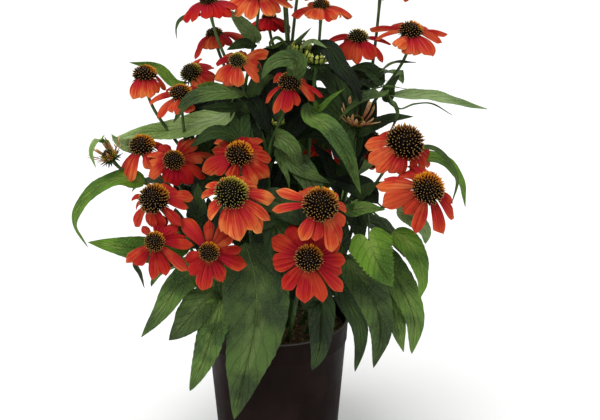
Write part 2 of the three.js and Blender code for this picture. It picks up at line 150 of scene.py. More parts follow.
# Heads: name, middle of the cone, [compass, tilt], cone radius, ray length, [first, last] angle
# of a ray, number of rays, their warmth from 0 (crimson) to 9 (salmon).
FLOWERS = [
    ("f01", (-68, -35, 538), (170, 8), 10, 29, (-2, -56), 12, 1),
    ("f02", (-65, 0, 497), (160, 10), 10, 29, (-8, -62), 12, 3),
    ("f03", (-136, -30, 462), (-90, 6), 14, 26, (-30, -80), 12, 5),
    ("f04", (-93, 0, 454), (-130, 38), 13, 30, (-12, -60), 12, 3),
    ("f05", (-96, -62, 449), (-90, 18), 13, 31, (-5, -55), 12, 2),
    ("f06", (-38, -50, 479), (-90, 30), 10, 29, (-8, -58), 12, 7),
    ("f07", (-8, 70, 500), (90, 14), 9, 25, (-8, -60), 11, 1),
    ("f08", (-18, -15, 543), (-100, 12), 12, 31, (0, -52), 12, 8),
    ("f09", (48, -20, 531), (-80, 8), 10, 30, (0, -48), 12, 5),
    ("f10", (88, 0, 494), (-70, 12), 12, 31, (-10, -66), 12, 5),
    ("f11", (142, -12, 504), (-90, 16), 14, 36, (-4, -46), 12, 6),
    ("f12", (113, 30, 548), (60, 8), 12, 29, (-4, -54), 12, 4),
    ("f13", (16, -60, 460), (-90, 26), 13, 31, (-10, -62), 12, 5),
    ("f14", (137, -85, 404), (-50, 38), 21.5, 34, (-16, -58), 13, 6),
    ("f15", (157, -125, 366), (-68, 50), 18.2, 40, (-12, -52), 13, 4),
    ("f16", (-141, -45, 388), (-100, 28), 14.5, 34, (-10, -62), 12, 8),
    ("f17", (-104, -75, 379), (-80, 44), 12, 31, (-12, -58), 12, 3),
    ("f18", (-123, -122, 354), (-110, 44), 17, 32, (-16, -62), 13, 4),
    ("f19", (-120, -145, 315), (-96, 56), 11, 35, (-12, -50), 13, 3),
    ("f20", (-65, -145, 303), (-86, 62), 11, 36, (-8, -42), 13, 3),
    ("f21", (-36, -88, 391), (-90, 45), 15, 33, (-12, -56), 12, 3),
    ("f22", (-42, -150, 370), (-94, 46), 18, 42, (-18, -62), 13, 8),
    ("f23", (47, -155, 360), (-84, 46), 19, 41, (-16, -60), 13, 6),
    ("f24", (35, -145, 297), (-90, 58), 15, 39, (-8, -46), 12, 3),
    ("f25", (8, 62, 536), (100, 10), 11, 26, (-6, -58), 12, 5),
    ("f26", (8, -20, 590), (-120, 6), 13, 31, (-2, -54), 12, 4),
    ("f27", (30, 28, 582), (30, 8), 12, 28, (-6, -60), 12, 6),
    ("f28", (-92, 97, 347), (134, 48), 15, 36, (-14, -58), 12, 6),
    ("f29", (-42, 132, 330), (106, 56), 14, 37, (-12, -52), 12, 3),
    ("f30", (12, 140, 385), (88, 44), 16, 38, (-14, -60), 13, 7),
    ("f31", (58, 132, 342), (68, 56), 14, 36, (-12, -50), 12, 4),
    ("f32", (112, 98, 352), (42, 48), 15, 36, (-14, -60), 12, 5),
]

# Heads with greener cones, heads whose spines get more painted sunlight, heads whose hindmost
# rays hang straight down, and heads whose rays leave more room between them.
GREEN_CONES = {"f04", "f06", "f10", "f22", "f26", "f29"}
SUNNY_HEADS = {"f03", "f05", "f06", "f09", "f10", "f11", "f12", "f15", "f16", "f21", "f26", "f27"}
LIMP_BEHIND = {"f14", "f15", "f16", "f18", "f22", "f23"}
SLIM_RAYED = {"f13", "f19", "f20", "f23", "f24"}

# Rays of the heads in front, as the front view shows them: the angle of a ray's tip round the
# middle of its cone, the tip's reach from there, half the ray's width, and its warmth.
SEEN_RAYS = {
    "f02": ((-119, 38, 4.2, 3), (-138, 27, 4.7, 2), (-100, 24, 6.3, 5), (-75, 23, 6.3, 4),
            (-45, 27, 5.8, 2), (-14, 38, 7.4, 4)),
    "f03": ((-121, 31, 3.0, 5), (-107, 35, 5.7, 7), (-92, 33, 5.2, 8), (-78, 32, 5.7, 8), (-62, 30, 5.2, 7),
            (-47, 29, 3.6, 5)),
    "f04": ((8, 25, 5.3, 5), (-14, 30, 5.9, 5), (-35, 33, 6.9, 5), (-71, 26, 4.2, 7)),
    "f05": ((-160, 37, 6.1, 4), (-128, 39, 4.6, 4), (-104, 20, 6.1, 5), (-60, 20, 5.1, 5),
            (-6, 33, 4.1, 4)),
    "f06": ((16, 33, 5.6, 8), (-27, 27, 5.1, 6), (-47, 34, 4.6, 5), (-91, 31, 6.1, 8), (-114, 33, 6.7, 7),
            (-136, 34, 6.1, 7), (-172, 24, 4.6, 3)),
    "f09": ((-157, 34, 4.6, 4), (-130, 23, 4.6, 6), (-103, 22, 6.7, 7), (-68, 25, 3.6, 2),
            (-38, 24, 6.2, 6), (-25, 36, 5.2, 4)),
    "f10": ((-159, 39, 4.2, 3), (-170, 33, 4.2, 2), (-131, 37, 6.3, 3), (-112, 33, 5.3, 3),
            (-94, 36, 4.8, 4), (-64, 34, 7.9, 3), (-52, 41, 3.7, 3), (-17, 37, 4.2, 2)),
    "f11": ((176, 41, 3.7, 6), (-159, 39, 4.7, 6), (-124, 29, 6.3, 7), (-88, 32, 8.4, 7), (-57, 40, 7.3, 5),
            (-28, 38, 5.2, 4), (-9, 41, 3.7, 4)),
    "f13": ((-135, 36, 4.1, 4), (-115, 41, 3.9, 5), (-101, 37, 7.2, 3), (-75, 29, 4.6, 3),
            (-45, 34, 5.1, 5), (-28, 39, 4.1, 2)),
    "f14": ((-171, 45, 7.6, 7), (-148, 49, 6.6, 6), (-133, 50, 6.1, 6), (-122, 42, 6.1, 6),
            (-104, 38, 6.1, 5), (-76, 36, 6.1, 5), (-60, 37, 6.5, 5), (-45, 37, 6.5, 5), (-30, 30, 5.0, 4)),
    "f15": ((180, 54, 6.0, 7), (169, 46, 4.0, 3), (-158, 53, 7.5, 4), (-132, 34, 7.0, 3),
            (-108, 51, 6.0, 4), (-74, 52, 6.5, 4), (-53, 42, 6.0, 4), (-38, 31, 5.0, 3)),
    "f16": ((-120, 43, 4.2, 6), (-106, 47, 6.3, 9), (-66, 32, 7.4, 9), (22, 29, 3.2, 9), (-18, 25, 5.3, 8)),
    "f17": ((8, 40, 7.2, 6), (-34, 37, 5.2, 2), (-58, 33, 6.2, 1), (-82, 30, 6.2, 1), (-110, 25, 5.2, 2),
            (-145, 34, 6.2, 5), (-172, 28, 6.7, 7), (170, 30, 4.6, 7), (46, 29, 6.2, 5), (66, 25, 4.1, 7)),
    "f18": ((-1, 40, 5.0, 5), (-18, 38, 4.2, 4), (-47, 43, 4.5, 4), (-74, 31, 4.5, 3), (-93, 32, 6.5, 3),
            (-122, 37, 5.5, 4), (-146, 24, 2.8, 3), (-172, 26, 3.0, 2)),
    "f19": ((-143, 39, 4.5, 5), (-132, 34, 6.5, 2), (-95, 41, 5.5, 3), (-74, 38, 6.5, 2), (-42, 45, 5.5, 6),
            (-8, 39, 5.0, 3), (4, 31, 5.0, 2), (35, 27, 6.0, 4), (137, 20, 4.0, 4)),
    "f20": ((-22, 40, 8.0, 3), (2, 32, 4.5, 3), (-69, 35, 7.0, 3), (-101, 41, 8.0, 3), (-131, 32, 6.0, 2),
            (-160, 28, 6.0, 2), (130, 44, 7.5, 4), (97, 31, 5.0, 4), (30, 27, 4.0, 7)),
    "f21": ((-154, 45, 7.6, 5), (178, 30, 5.6, 6), (157, 24, 4.6, 6), (-137, 35, 5.6, 4),
            (-105, 31, 6.1, 5), (-65, 41, 6.6, 8), (-43, 41, 8.2, 6), (-14, 33, 6.1, 5), (8, 24, 5.1, 4)),
    "f22": ((-8, 44, 6.9, 9), (-40, 49, 4.4, 9), (-55, 52, 5.9, 9), (-62, 46, 7.4, 8), (-79, 52, 7.8, 9),
            (-95, 45, 5.4, 7), (-106, 43, 4.9, 8), (-134, 36, 6.9, 9), (-168, 32, 4.9, 9),
            (162, 26, 4.9, 9)),
    "f23": ((166, 46, 4.9, 9), (-168, 50, 4.4, 7), (-119, 44, 6.9, 7), (-98, 40, 6.4, 4), (-78, 52, 6.4, 6),
            (-64, 46, 5.9, 5), (-46, 33, 5.4, 4), (-18, 25, 4.9, 4)),
    "f24": ((155, 42, 8.5, 3), (-167, 40, 9.0, 3), (-127, 43, 7.5, 2), (-95, 48, 8.5, 3), (-75, 49, 7.0, 3),
            (-48, 50, 6.0, 4), (-26, 38, 5.5, 3), (-6, 38, 6.5, 3), (22, 36, 7.0, 3)),
}

# Buds and spent heads: name, middle, [compass, tilt], radius, length and half width of a ray, kind.
BUDS = [
    ("b1", (28, -10, 479), (-90, 6), 9.5, 13, 1.8, "bud"),
    ("b2", (43, -30, 474), (-60, 10), 11, 15, 2.0, "bud"),
    ("b3", (3, -38, 407), (-100, 20), 6, 8, 1.4, "bud"),
    ("b4", (86, -34, 407), (-80, 20), 9, 24, 1.9, "spent"),
    ("b5", (-174, -60, 378), (-150, 30), 10, 18, 1.2, "spent"),
]

# Stalks, from the first: what each one carries, and the place where it forks.
STALKS = [
    (("f05", "f03", "f04"), (-90, -30, 350)),
    (("f02", "f01", "f08"), (-34, -14, 405)),
    (("f06", "f13", "b3"), (-8, -48, 365)),
    (("f07", "f25", "f27", "f26"), (14, 26, 420)),
    (("f09", "b1", "b2"), (38, -18, 405)),
    (("f10", "f11", "f12"), (92, 4, 385)),
    (("f14", "f15", "b4"), (80, -52, 285)),
    (("f16", "f17", "b5"), (-88, -42, 298)),
    (("f18", "f19", "f20"), (-62, -84, 232)),
    (("f21", "f22"), (-26, -68, 290)),
    (("f23", "f24"), (24, -82, 235)),
    (("f28", "f29"), (-44, 78, 248)),
    (("f30", "f31", "f32"), (42, 80, 255)),
]

# Leaves laid along a midrib: stalk, branch or None, share along it, half width, the way the upper
# side faces, shape, finish, midrib points. The first 13 stand for the model's leaf nodes.
DRAWN_LEAVES = [
    (10, None, 0.8, 36, (-0.1, -1, 0.35), "oval", "mid", (-31, -90, 290), (-20, -108, 250),
     (-22, -110, 200), (-33, -104, 148), (-46, -97, 86)),
    (9, None, 0.74, 17, (-0.3, -1, 0.25), "broad", "quilt", (-56, -98, 228), (-66, -106, 199),
     (-77, -102, 162), (-94, -92, 118)),
    (9, None, 0.9, 19, (-0.3, -0.9, 0.5), "lance", "mid", (-64, -86, 234), (-78, -97, 225), (-95, -98, 204),
     (-115, -90, 178)),
    (7, None, 0.55, 19, (0.1, -1, 0.4), "oval", "mid", (76, -80, 268), (97, -94, 242), (109, -96, 213),
     (112, -92, 182), (106, -84, 142)),
    (7, None, 0.75, 18, (0.5, -0.9, 0.4), "broad", "quilt", (108, -52, 260), (134, -74, 234),
     (149, -80, 197), (148, -76, 155)),
    (7, "f15", 0.3, 25, (0.1, -1, 0.35), "heart", "bright", (97, -105, 299), (106, -116, 279),
     (122, -113, 251)),
    (7, "f14", 0.3, 14, (0.5, -0.9, 0.4), "oval", "bright", (122, -84, 300), (138, -92, 292),
     (150, -96, 272), (155, -94, 248), (153, -88, 224)),
    (5, "b1", 0.4, 12, (0.3, -0.8, 0.7), "lance", "quilt", (36, -58, 419), (54, -82, 414), (72, -99, 392),
     (88, -105, 350)),
    (6, "f11", 0.48, 11, (0, -0.35, 1), "lance", "pale", (126, -18, 431), (162, -34, 433), (192, -46, 429),
     (221, -50, 424)),
    (2, "f02", 0.35, 13, (0, -0.95, 0.6), "broad", "light", (-53, -48, 417), (-76, -48, 409),
     (-110, -32, 396), (-142, -22, 390), (-176, -20, 381)),
    (8, "b5", 0.6, 12, (-0.7, -0.7, 0.5), "oval", "bright", (-137, -52, 346), (-161, -62, 352),
     (-184, -76, 347), (-202, -80, 329), (-210, -78, 306), (-199, -74, 279)),
    (8, None, 0.85, 15, (0, -0.95, 0.5), "lance", "bright", (-116, -80, 278), (-144, -88, 283),
     (-171, -88, 287), (-197, -82, 288)),
    (12, None, 0.8, 22, (-0.2, 0.8, 0.7), "broad", "mid", (-34, 92, 268), (-40, 130, 270), (-52, 168, 236),
     (-60, 188, 180)),
    (9, None, 0.66, 16, (-0.4, -0.9, 0.4), "lance", "quilt", (-80, -80, 250), (-103, -84, 240),
     (-121, -84, 212), (-147, -72, 173)),
    (11, None, 0.7, 15, (0, -1, 0.3), "broad", "dark", (46, -100, 228), (48, -108, 200), (46, -106, 172),
     (39, -98, 146)),
    (7, None, 0.3, 13, (-0.2, -1, 0.2), "broad", "dark", (60, -80, 248), (77, -92, 224), (89, -92, 198),
     (91, -86, 170), (86, -78, 134)),
    (5, None, 0.8, 13, (0.1, -1, 0.5), "lance", "mid", (20, -60, 372), (34, -86, 362), (46, -98, 338),
     (52, -96, 306)),
    (10, None, 0.85, 15, (0.1, -1, 0.3), "lance", "dark", (-2, -96, 312), (4, -120, 296), (8, -128, 268),
     (4, -124, 236)),
    (7, "f15", 0.57, 10, (0.3, -1, 0.5), "broad", "pale", (131, -76, 321), (146, -82, 313), (157, -84, 301),
     (158, -82, 286)),
    (7, "f14", 0.3, 9, (0, -0.9, 0.8), "lance", "quilt", (80, -82, 324), (96, -92, 330), (114, -92, 328)),
    (3, "b3", 0.57, 10, (-0.3, -1, 0.5), "lance", "mid", (3, -66, 398), (19, -78, 389), (28, -84, 362)),
    (3, "b3", 0.48, 9, (-0.2, -1, 0.8), "lance", "mid", (13, -72, 377), (30, -86, 368), (57, -92, 357)),
    (3, "b3", 0.48, 4, (0, -1, 0.3), "lance", "mid", (10, -84, 369), (14, -90, 360), (15, -92, 350)),
    (7, "f14", 0.85, 3.5, (0.5, -0.6, 0.8), "lance", "mid", (157, -70, 389), (177, -74, 378),
     (189, -76, 355), (185, -72, 327)),
    (7, "f14", 0.83, 8, (0.3, -0.6, 0.9), "lance", "bright", (157, -60, 375), (178, -64, 370),
     (194, -66, 350), (201, -62, 320)),
    (6, "f11", 0.39, 4, (0, 0.25, 1), "lance", "dark", (130, -20, 416), (147, -24, 422), (165, -26, 423),
     (188, -24, 410)),
    (7, "b4", 0.83, 7, (-0.3, -1, 0.7), "lance", "dark", (87, -36, 392), (118, -46, 412), (144, -50, 416)),
    (6, "f11", 0.43, 6.5, (-0.2, -0.7, 0.8), "lance", "mid", (111, -46, 440), (96, -50, 438),
     (80, -48, 427), (66, -46, 411)),
    (6, "f11", 0.45, 3.5, (0.6, -1, 0.3), "lance", "mid", (121, -50, 434), (127, -54, 419),
     (118, -54, 397)),
    (6, "f11", 0.52, 5, (0, -0.1, 1), "lance", "mid", (110, -6, 449), (124, -14, 464), (148, -18, 466)),
    (6, "f11", 0.43, 7, (-0.2, -1, 0.2), "broad", "dark", (119, -18, 429), (122, -22, 443),
     (131, -20, 453)),
    (6, "f12", 0.39, 9, (0, -1, 0.6), "lance", "dark", (111, -8, 445), (96, -16, 459), (78, -18, 460)),
    (5, "b1", 0.95, 10, (0.3, -1, 0.6), "lance", "deep", (53, -36, 486), (67, -46, 469), (82, -50, 451),
     (90, -52, 429)),
    (5, "b1", 0.95, 4.5, (0, -0.5, 1), "lance", "pale", (25, -20, 479), (38, -30, 491), (54, -38, 486)),
    (3, "f13", 0.95, 10.5, (0, -1, 0.45), "broad", "mid", (23, -72, 478), (10, -87, 486), (-4, -93, 481),
     (-12, -93, 467)),
    (4, "f26", 0.39, 4, (0, -0.3, 1), "lance", "bright", (-7, 4, 476), (1, 0, 488), (15, 0, 479)),
    (5, "b1", 0.95, 3, (0.7, 0.2, 0.7), "lance", "dark", (13, -4, 474), (24, -6, 486), (38, -4, 500)),
    (2, "f08", 0.65, 9, (-0.4, -1, 0.4), "broad", "pale", (-17, -8, 485), (-31, -12, 502), (-48, -8, 519)),
    (2, "f08", 0.65, 7, (0, -0.7, 0.8), "lance", "dark", (-22, -16, 484), (-35, -26, 487), (-50, -30, 482)),
    (2, "f01", 0.95, 3, (-0.7, -0.6, 0.4), "lance", "mid", (-93, -30, 516), (-101, -32, 507),
     (-102, -30, 494)),
    (1, "f04", 0.95, 6, (-0.2, -0.9, 0.8), "lance", "bright", (-107, 0, 438), (-126, 4, 454),
     (-156, 2, 461)),
    (2, "f02", 0.39, 7, (0, -0.8, 0.8), "lance", "bright", (-52, -20, 434), (-69, -26, 442),
     (-84, -26, 442)),
    (3, "f06", 0.7, 10, (0.1, -0.8, 0.8), "lance", "mid", (-32, -50, 441), (-60, -72, 447), (-87, -80, 441),
     (-103, -80, 418)),
    (3, "f06", 0.61, 7, (0, -0.8, 0.7), "lance", "dark", (-42, -50, 426), (-61, -64, 429), (-78, -66, 430)),
    (6, "f10", 0.52, 4, (0, 0, 1), "lance", "mid", (93, -22, 435), (115, -30, 443), (138, -32, 441)),
    (9, "f19", 0.7, 4, (-0.4, -1, 0), "lance", "dark", (-143, -104, 275), (-140, -106, 262),
     (-137, -104, 245)),
    (8, "b5", 0.97, 4.8, (-0.5, -0.8, 0.5), "lance", "light", (-178, -46, 387), (-183, -56, 393),
     (-188, -64, 390), (-190, -70, 381), (-186, -72, 367)),
    (10, "f21", 0.9, 10, (0, -0.8, 0.8), "broad", "dark", (-38, -62, 393), (-62, -72, 405),
     (-87, -76, 391)),
    (7, None, 0.87, 14, (0.3, -1, 0.4), "lance", "quilt", (116, -70, 232), (128, -84, 201),
     (139, -76, 157)),
    (7, "f14", 0.3, 7, (-0.4, -1, 0.5), "lance", "dark", (81, -60, 324), (95, -66, 341), (112, -66, 350)),
    (5, "b2", 0.43, 3.5, (-0.5, -1, 0.5), "lance", "bright", (45, -50, 424), (58, -54, 437),
     (72, -54, 447)),
    (7, "b4", 0.91, 10, (0.1, -1, 0.4), "broad", "dark", (81, -30, 406), (74, -46, 389), (81, -52, 360)),
    (9, "f19", 0.57, 7, (0, -1, 0.5), "lance", "dark", (-112, -96, 271), (-120, -104, 270),
     (-129, -108, 281)),
    (7, "f15", 0.2, 13, (-0.2, -1, 0.3), "broad", "dark", (80, -62, 328), (87, -70, 308), (91, -74, 282)),
    (3, None, 0.95, 9, (0, -1, 0.5), "broad", "dark", (-14, -30, 415), (-24, -36, 430), (-36, -36, 434)),
    (3, None, 0.8, 10, (0, -1, 0.4), "broad", "deep", (-22, -40, 396), (-36, -46, 414), (-48, -46, 416)),
    (8, "f17", 0.1, 12, (0, -1, 0.3), "lance", "dark", (-84, -66, 306), (-80, -80, 328), (-80, -78, 352)),
    (8, "f17", 0.0, 12, (0, -1, 0.3), "broad", "dark", (-95, -62, 300), (-101, -76, 308), (-104, -82, 326)),
    (9, "f18", 0.3, 12, (0.1, -1, 0.3), "broad", "deep", (-74, -84, 284), (-66, -80, 308), (-70, -76, 336)),
    (7, None, 0.87, 15, (0, -1, 0.2), "broad", "dark", (70, -66, 272), (66, -74, 292), (71, -68, 318)),
    (7, "b4", 0.13, 11, (0, -1, 0.3), "broad", "dark", (72, -64, 296), (69, -72, 280), (70, -70, 258)),
    (3, "f06", 0.48, 6, (0, -1, 0.5), "broad", "dark", (-30, -44, 424), (-38, -46, 426), (-46, -44, 420)),
    (3, "f06", 0.6, 7, (0.2, -1, 0.2), "lance", "dark", (-24, -44, 440), (-18, -46, 458), (-16, -44, 472)),
    (8, "f16", 0.85, 8, (-0.2, -1, 0.4), "lance", "light", (-151, -26, 375), (-160, -32, 380),
     (-168, -36, 386), (-173, -38, 393)),
]

# Leaves that grow up, out and over: stalk, branch or None, share along it, compass, length, half
# width, [first, last] angle, shape, finish.
GROWN_LEAVES = [
    (10, None, 0.5, -125, 58, 14, (30, -40), "broad", "dark"),
    (8, None, 0.45, 150, 90, 18, (35, -50), "broad", "dark"),
    (8, None, 0.65, -120, 62, 14, (30, -50), "lance", "dark"),
    (1, None, 0.4, 150, 130, 22, (35, -60), "broad", "mid"),
    (1, None, 0.7, -140, 90, 16, (35, -40), "lance", "dark"),
    (2, None, 0.45, 120, 120, 20, (30, -55), "broad", "dark"),
    (2, None, 0.75, -110, 90, 15, (40, -50), "lance", "dark"),
    (3, None, 0.5, -95, 70, 16, (35, -40), "lance", "dark"),
    (3, None, 0.8, -60, 90, 15, (35, -45), "lance", "dark"),
    (4, None, 0.3, 80, 140, 24, (35, -60), "broad", "mid"),
    (4, None, 0.55, 30, 110, 18, (35, -55), "lance", "dark"),
    (4, None, 0.75, 160, 100, 16, (35, -55), "lance", "mid"),
    (5, None, 0.4, -20, 130, 22, (30, -60), "broad", "dark"),
    (5, None, 0.65, -75, 100, 17, (30, -60), "lance", "dark"),
    (6, None, 0.35, 20, 140, 23, (30, -60), "broad", "mid"),
    (6, None, 0.6, -40, 105, 17, (35, -55), "lance", "dark"),
    (6, None, 0.8, 60, 90, 14, (35, -45), "lance", "mid"),
    (7, None, 0.45, 10, 130, 22, (25, -60), "broad", "mid"),
    (12, None, 0.3, 130, 140, 24, (30, -65), "broad", "mid"),
    (12, None, 0.5, 85, 120, 20, (25, -65), "broad", "dark"),
    (12, None, 0.65, 170, 110, 19, (25, -60), "broad", "mid"),
    (13, None, 0.3, 60, 140, 24, (30, -65), "broad", "mid"),
    (13, None, 0.5, 15, 125, 20, (25, -60), "broad", "dark"),
    (13, None, 0.7, 95, 120, 19, (25, -65), "broad", "mid"),
    (13, None, 0.85, 40, 90, 16, (30, -60), "lance", "bright"),
    (12, "f28", 0.3, 150, 80, 15, (25, -50), "lance", "bright"),
    (8, None, 0.3, 172, 72, 16, (30, -62), "broad", "mid"),
    (8, None, 0.8, 158, 78, 15, (32, -52), "broad", "mid"),
    (1, None, 0.25, 165, 84, 17, (28, -60), "broad", "dark"),
    (1, None, 0.9, 178, 62, 12, (35, -45), "lance", "mid"),
    (2, None, 0.6, 172, 84, 15, (32, -55), "broad", "mid"),
    (8, "f16", 0.4, 150, 64, 12, (30, -50), "lance", "dark"),
    (6, "f12", 0.35, 50, 70, 13, (30, -55), "lance", "mid"),
    (4, "f25", 0.3, 110, 74, 13, (30, -55), "lance", "mid"),
]

# Small leaves scattered through the middle of the plant: number, middle and reach of an
# egg-shaped space.
INNER_LEAVES = [
    (70, (8, -8, 325), (120, 80, 105)),
    (60, (20, -4, 415), (92, 52, 62)),
]

# ---------------------------------------------------------------- finishes


def paint(code):
    """A colour written as six hexadecimal digits, as linear red, green, blue and 1."""
    shares = [int(code[i:i + 2], 16) / 255 for i in (0, 2, 4)]
    return tuple(s / 12.92 if s <= 0.04045 else ((s + 0.055) / 1.055) ** 2.4 for s in shares) + (1.0,)


class Look:
    """A new material, the inputs of its shader, its Object places and its map."""

    def __init__(self, name, roughness, shine=0.3):
        self.material = bpy.data.materials.new(name)
        self.material.use_nodes = True
        self.tree = self.material.node_tree
        self.shader = self.tree.nodes["Principled BSDF"].inputs
        self.put(self.shader["Roughness"], roughness)
        self.put(self.shader["Specular IOR Level"], shine)
        coordinates = self.node("TexCoord").outputs
        self.place, self.uv = coordinates["Object"], coordinates["UV"]

    def put(self, socket, value):
        """Sets an input to a number or a colour's code, or links it to an output."""
        if isinstance(value, bpy.types.NodeSocket):
            self.tree.links.new(value, socket)
        else:
            socket.default_value = paint(value) if isinstance(value, str) else value

    def node(self, kind, inputs=(), **settings):
        node = self.tree.nodes.new(f"ShaderNode{kind}")
        for setting, value in settings.items():
            setattr(node, setting, value)
        for socket, value in dict(inputs).items():
            self.put(node.inputs[socket], value)
        return node

    def parts(self, vector):
        return self.node("SeparateXYZ", {0: vector}).outputs

    def maths(self, operation, *values):
        return self.node("Math", enumerate(values), operation=operation).outputs[0]

    def scaled(self, value, factor, shift=0.0):
        return self.maths("MULTIPLY_ADD", value, factor, shift)

    def eased(self, value, low, high, start=0.0, end=1.0):
        """Goes smoothly from start to end while value goes from low to high."""
        values = enumerate((value, low, high, start, end))
        return self.node("MapRange", values, interpolation_type="SMOOTHSTEP").outputs[0]

    def mixed(self, factor, low, high):
        return self.node("Mix", {0: factor, 6: low, 7: high}, data_type="RGBA").outputs[2]

    def ramped(self, factor, places, colours):
        node = self.node("ValToRGB", {0: factor})
        elements = node.color_ramp.elements
        while len(elements) < len(places):
            elements.new(1.0)
        for element, place, colour in zip(elements, places, colours):
            element.position = place
            element.color = paint(colour)
        return node.outputs[0]

    def grain(self, vector, scale, detail=3.0, stretch=(1, 1, 1)):
        """Noise from 0 to 1 on a vector, finer across than along where it is stretched."""
        mapping = self.node("Mapping", {"Vector": vector, "Scale": stretch})
        inputs = {"Vector": mapping.outputs[0], "Scale": scale, "Detail": detail}
        return self.node("TexNoise", inputs).outputs["Fac"]

    def done(self, colour, height, strength, depth, roughness=None):
        """The material, with its colour, its roughness and the relief of its surface put in."""
        self.put(self.shader["Base Color"], colour)
        if roughness is not None:
            self.put(self.shader["Roughness"], roughness)
        bump = self.node("Bump", {"Height": height, "Strength": strength, "Distance": depth})
        self.put(self.shader["Normal"], bump.outputs[0])
        return self.material


def from_midrib(look):
    """How far a point is from the midrib, 0 to 1, and how far along the blade, 0 to 1."""
    across, along, _ = look.parts(look.uv)
    return look.maths("ABSOLUTE", look.scaled(across, 2.0, -1.0)), along


def ray_finish(name, cool, warm):
    """From crimson to salmon: the whole part of a ray's map across gives its warmth, 0 to 9."""
    look = Look(name, 0.75, 0.07)
    across, along, _ = look.parts(look.uv)
    step = look.maths("FLOOR", look.maths("FLOORED_MODULO", across, 10.0))
    warmth = look.maths("POWER", look.scaled(step, 1 / WARMEST), 1.5)
    side = look.scaled(look.maths("FRACT", across), 2 / MAP_SHARE, -1 / MAP_SHARE)
    shades = [look.ramped(along, (0.0, 0.3, 0.66, 1.0), tones) for tones in (cool, warm)]
    glow = look.mixed(warmth, cool[3], warm[3])
    streak = look.grain(look.uv, 1.0, 3.0, (17, 0.9, 1))
    drift = look.grain(look.place, 45.0, 2.0)
    shade = look.mixed(warmth, *shades)
    shade = look.mixed(look.eased(streak, 0.42, 0.66, 0.0, 0.6), shade, cool[1])
    shade = look.mixed(look.eased(streak, 0.44, 0.3, 0.0, 0.45), shade, glow)
    shade = look.mixed(look.eased(drift, 0.48, 0.66, 0.0, 0.35), shade, glow)
    # Painted shade: random patches turn towards rose crimson, the colour of the rays' shaded sides.
    shade = look.mixed(look.eased(drift, 0.52, 0.36, 0.0, 0.35), shade, PAINTED_SHADE_ROSE)
    # Paler edges: partly the rays' own paler margins, partly a painted highlight along them.
    edge = look.eased(look.maths("ABSOLUTE", side), 0.74, 1.0, 0.0, 0.75)
    rim = look.scaled(edge, look.eased(along, 0.2, 0.7))
    dullness = look.eased(streak, 0.3, 0.7, 0.62, 0.8)
    return look.done(look.mixed(rim, shade, glow), streak, 0.7, 0.0007, dullness)


def plain_ray_finish(name, root, tip):
    """A young or a withered ray, which turns from one colour to another along its length."""
    look = Look(name, 0.75, 0.08)
    streak = look.grain(look.place, 260.0)
    shade = look.ramped(look.parts(look.uv)[1], (0.1, 0.85), (root, tip))
    shade = look.mixed(look.eased(streak, 0.4, 0.65, 0.0, 0.6), shade, root)
    return look.done(shade, streak, 0.5, 0.0006)


def leaf_finish(name, dark, light, vein, roughness):
    """A midrib, side veins that leave it at a slant, a vein along the blade and a net of cells."""
    look = Look(name, roughness, 0.2)
    across, along = from_midrib(look)
    warp = look.scaled(look.grain(look.place, 55.0, 2.0), 0.5, -0.25)
    slope = look.scaled(across, -VEIN_SLANT, look.scaled(along, VEIN_PAIRS, warp))
    wave = look.maths("ABSOLUTE", look.scaled(look.maths("FRACT", slope), 2.0, -1.0))
    arc = look.maths("ABSOLUTE", look.maths("SUBTRACT", across, 0.4))
    rib = look.eased(across, 0.0, 0.055, 1.0, 0.0)
    side_veins = look.eased(wave, 0.8, 1.0, 0.0, 0.8)
    fine_veins = look.maths("MAXIMUM", side_veins, look.eased(arc, 0.0, 0.05, 0.55, 0.0))
    veins = look.maths("MAXIMUM", rib, fine_veins)
    patches = look.grain(look.place, 24.0, 4.0)
    near_rib = look.scaled(look.eased(across, 0.1, 0.6, 0.35, 0.0), look.eased(patches, 0.35, 0.6))
    net = look.node("TexVoronoi", {"Vector": look.place, "Scale": 330.0}, feature="DISTANCE_TO_EDGE")
    cells = look.eased(net.outputs["Distance"], 0.02, 0.22)
    shade = look.mixed(look.eased(patches, 0.36, 0.64), dark, light)
    shade = look.mixed(near_rib, shade, vein)
    shade = look.mixed(look.scaled(cells, 0.28), shade, light)
    shade = look.mixed(look.scaled(fine_veins, 0.38), shade, dark)
    shade = look.mixed(look.scaled(rib, 0.45), shade, vein)
    swell = look.maths("SUBTRACT", look.scaled(cells, 0.5), veins)
    dullness = look.eased(patches, 0.3, 0.7, roughness - 0.06, roughness + 0.12)
    return look.done(shade, swell, 0.8, 0.001, dullness)


def underside_finish(name, dark, light):
    look = Look(name, 0.75, 0.12)
    rib = look.eased(from_midrib(look)[0], 0.0, 0.1, 1.0, 0.0)
    patches = look.grain(look.place, 60.0)
    shade = look.mixed(look.eased(patches, 0.35, 0.65), dark, light)
    return look.done(look.mixed(rib, shade, light), look.maths("ADD", patches, rib), 0.5, 0.001)


def spine_finish(name, root, body, tip, young):
    """On a cone the map holds how much painted sunlight a spine takes, and how far along it a point is."""
    look = Look(name, 0.6, 0.1)
    sun, along, _ = look.parts(look.uv)
    outer = look.ramped(along, (0.0, 0.2, 0.45, 0.8), (root, root, body, tip))
    inner = look.ramped(along, (0.0, 0.74, 0.92), (root, root, young))
    tint = look.grain(look.place, 160.0, 2.0)
    # Painted light and shade: spines facing the sun take the amber ramp; the young inner ones and those
    # turned away take the dark ramp with pale tips.
    shade = look.mixed(look.eased(sun, 0.15, 0.7, 1.0, 0.0), outer, inner)
    shade = look.mixed(look.eased(tint, 0.5, 0.7, 0.0, 0.4), shade, root)
    return look.done(shade, tint, 0.2, 0.0004)


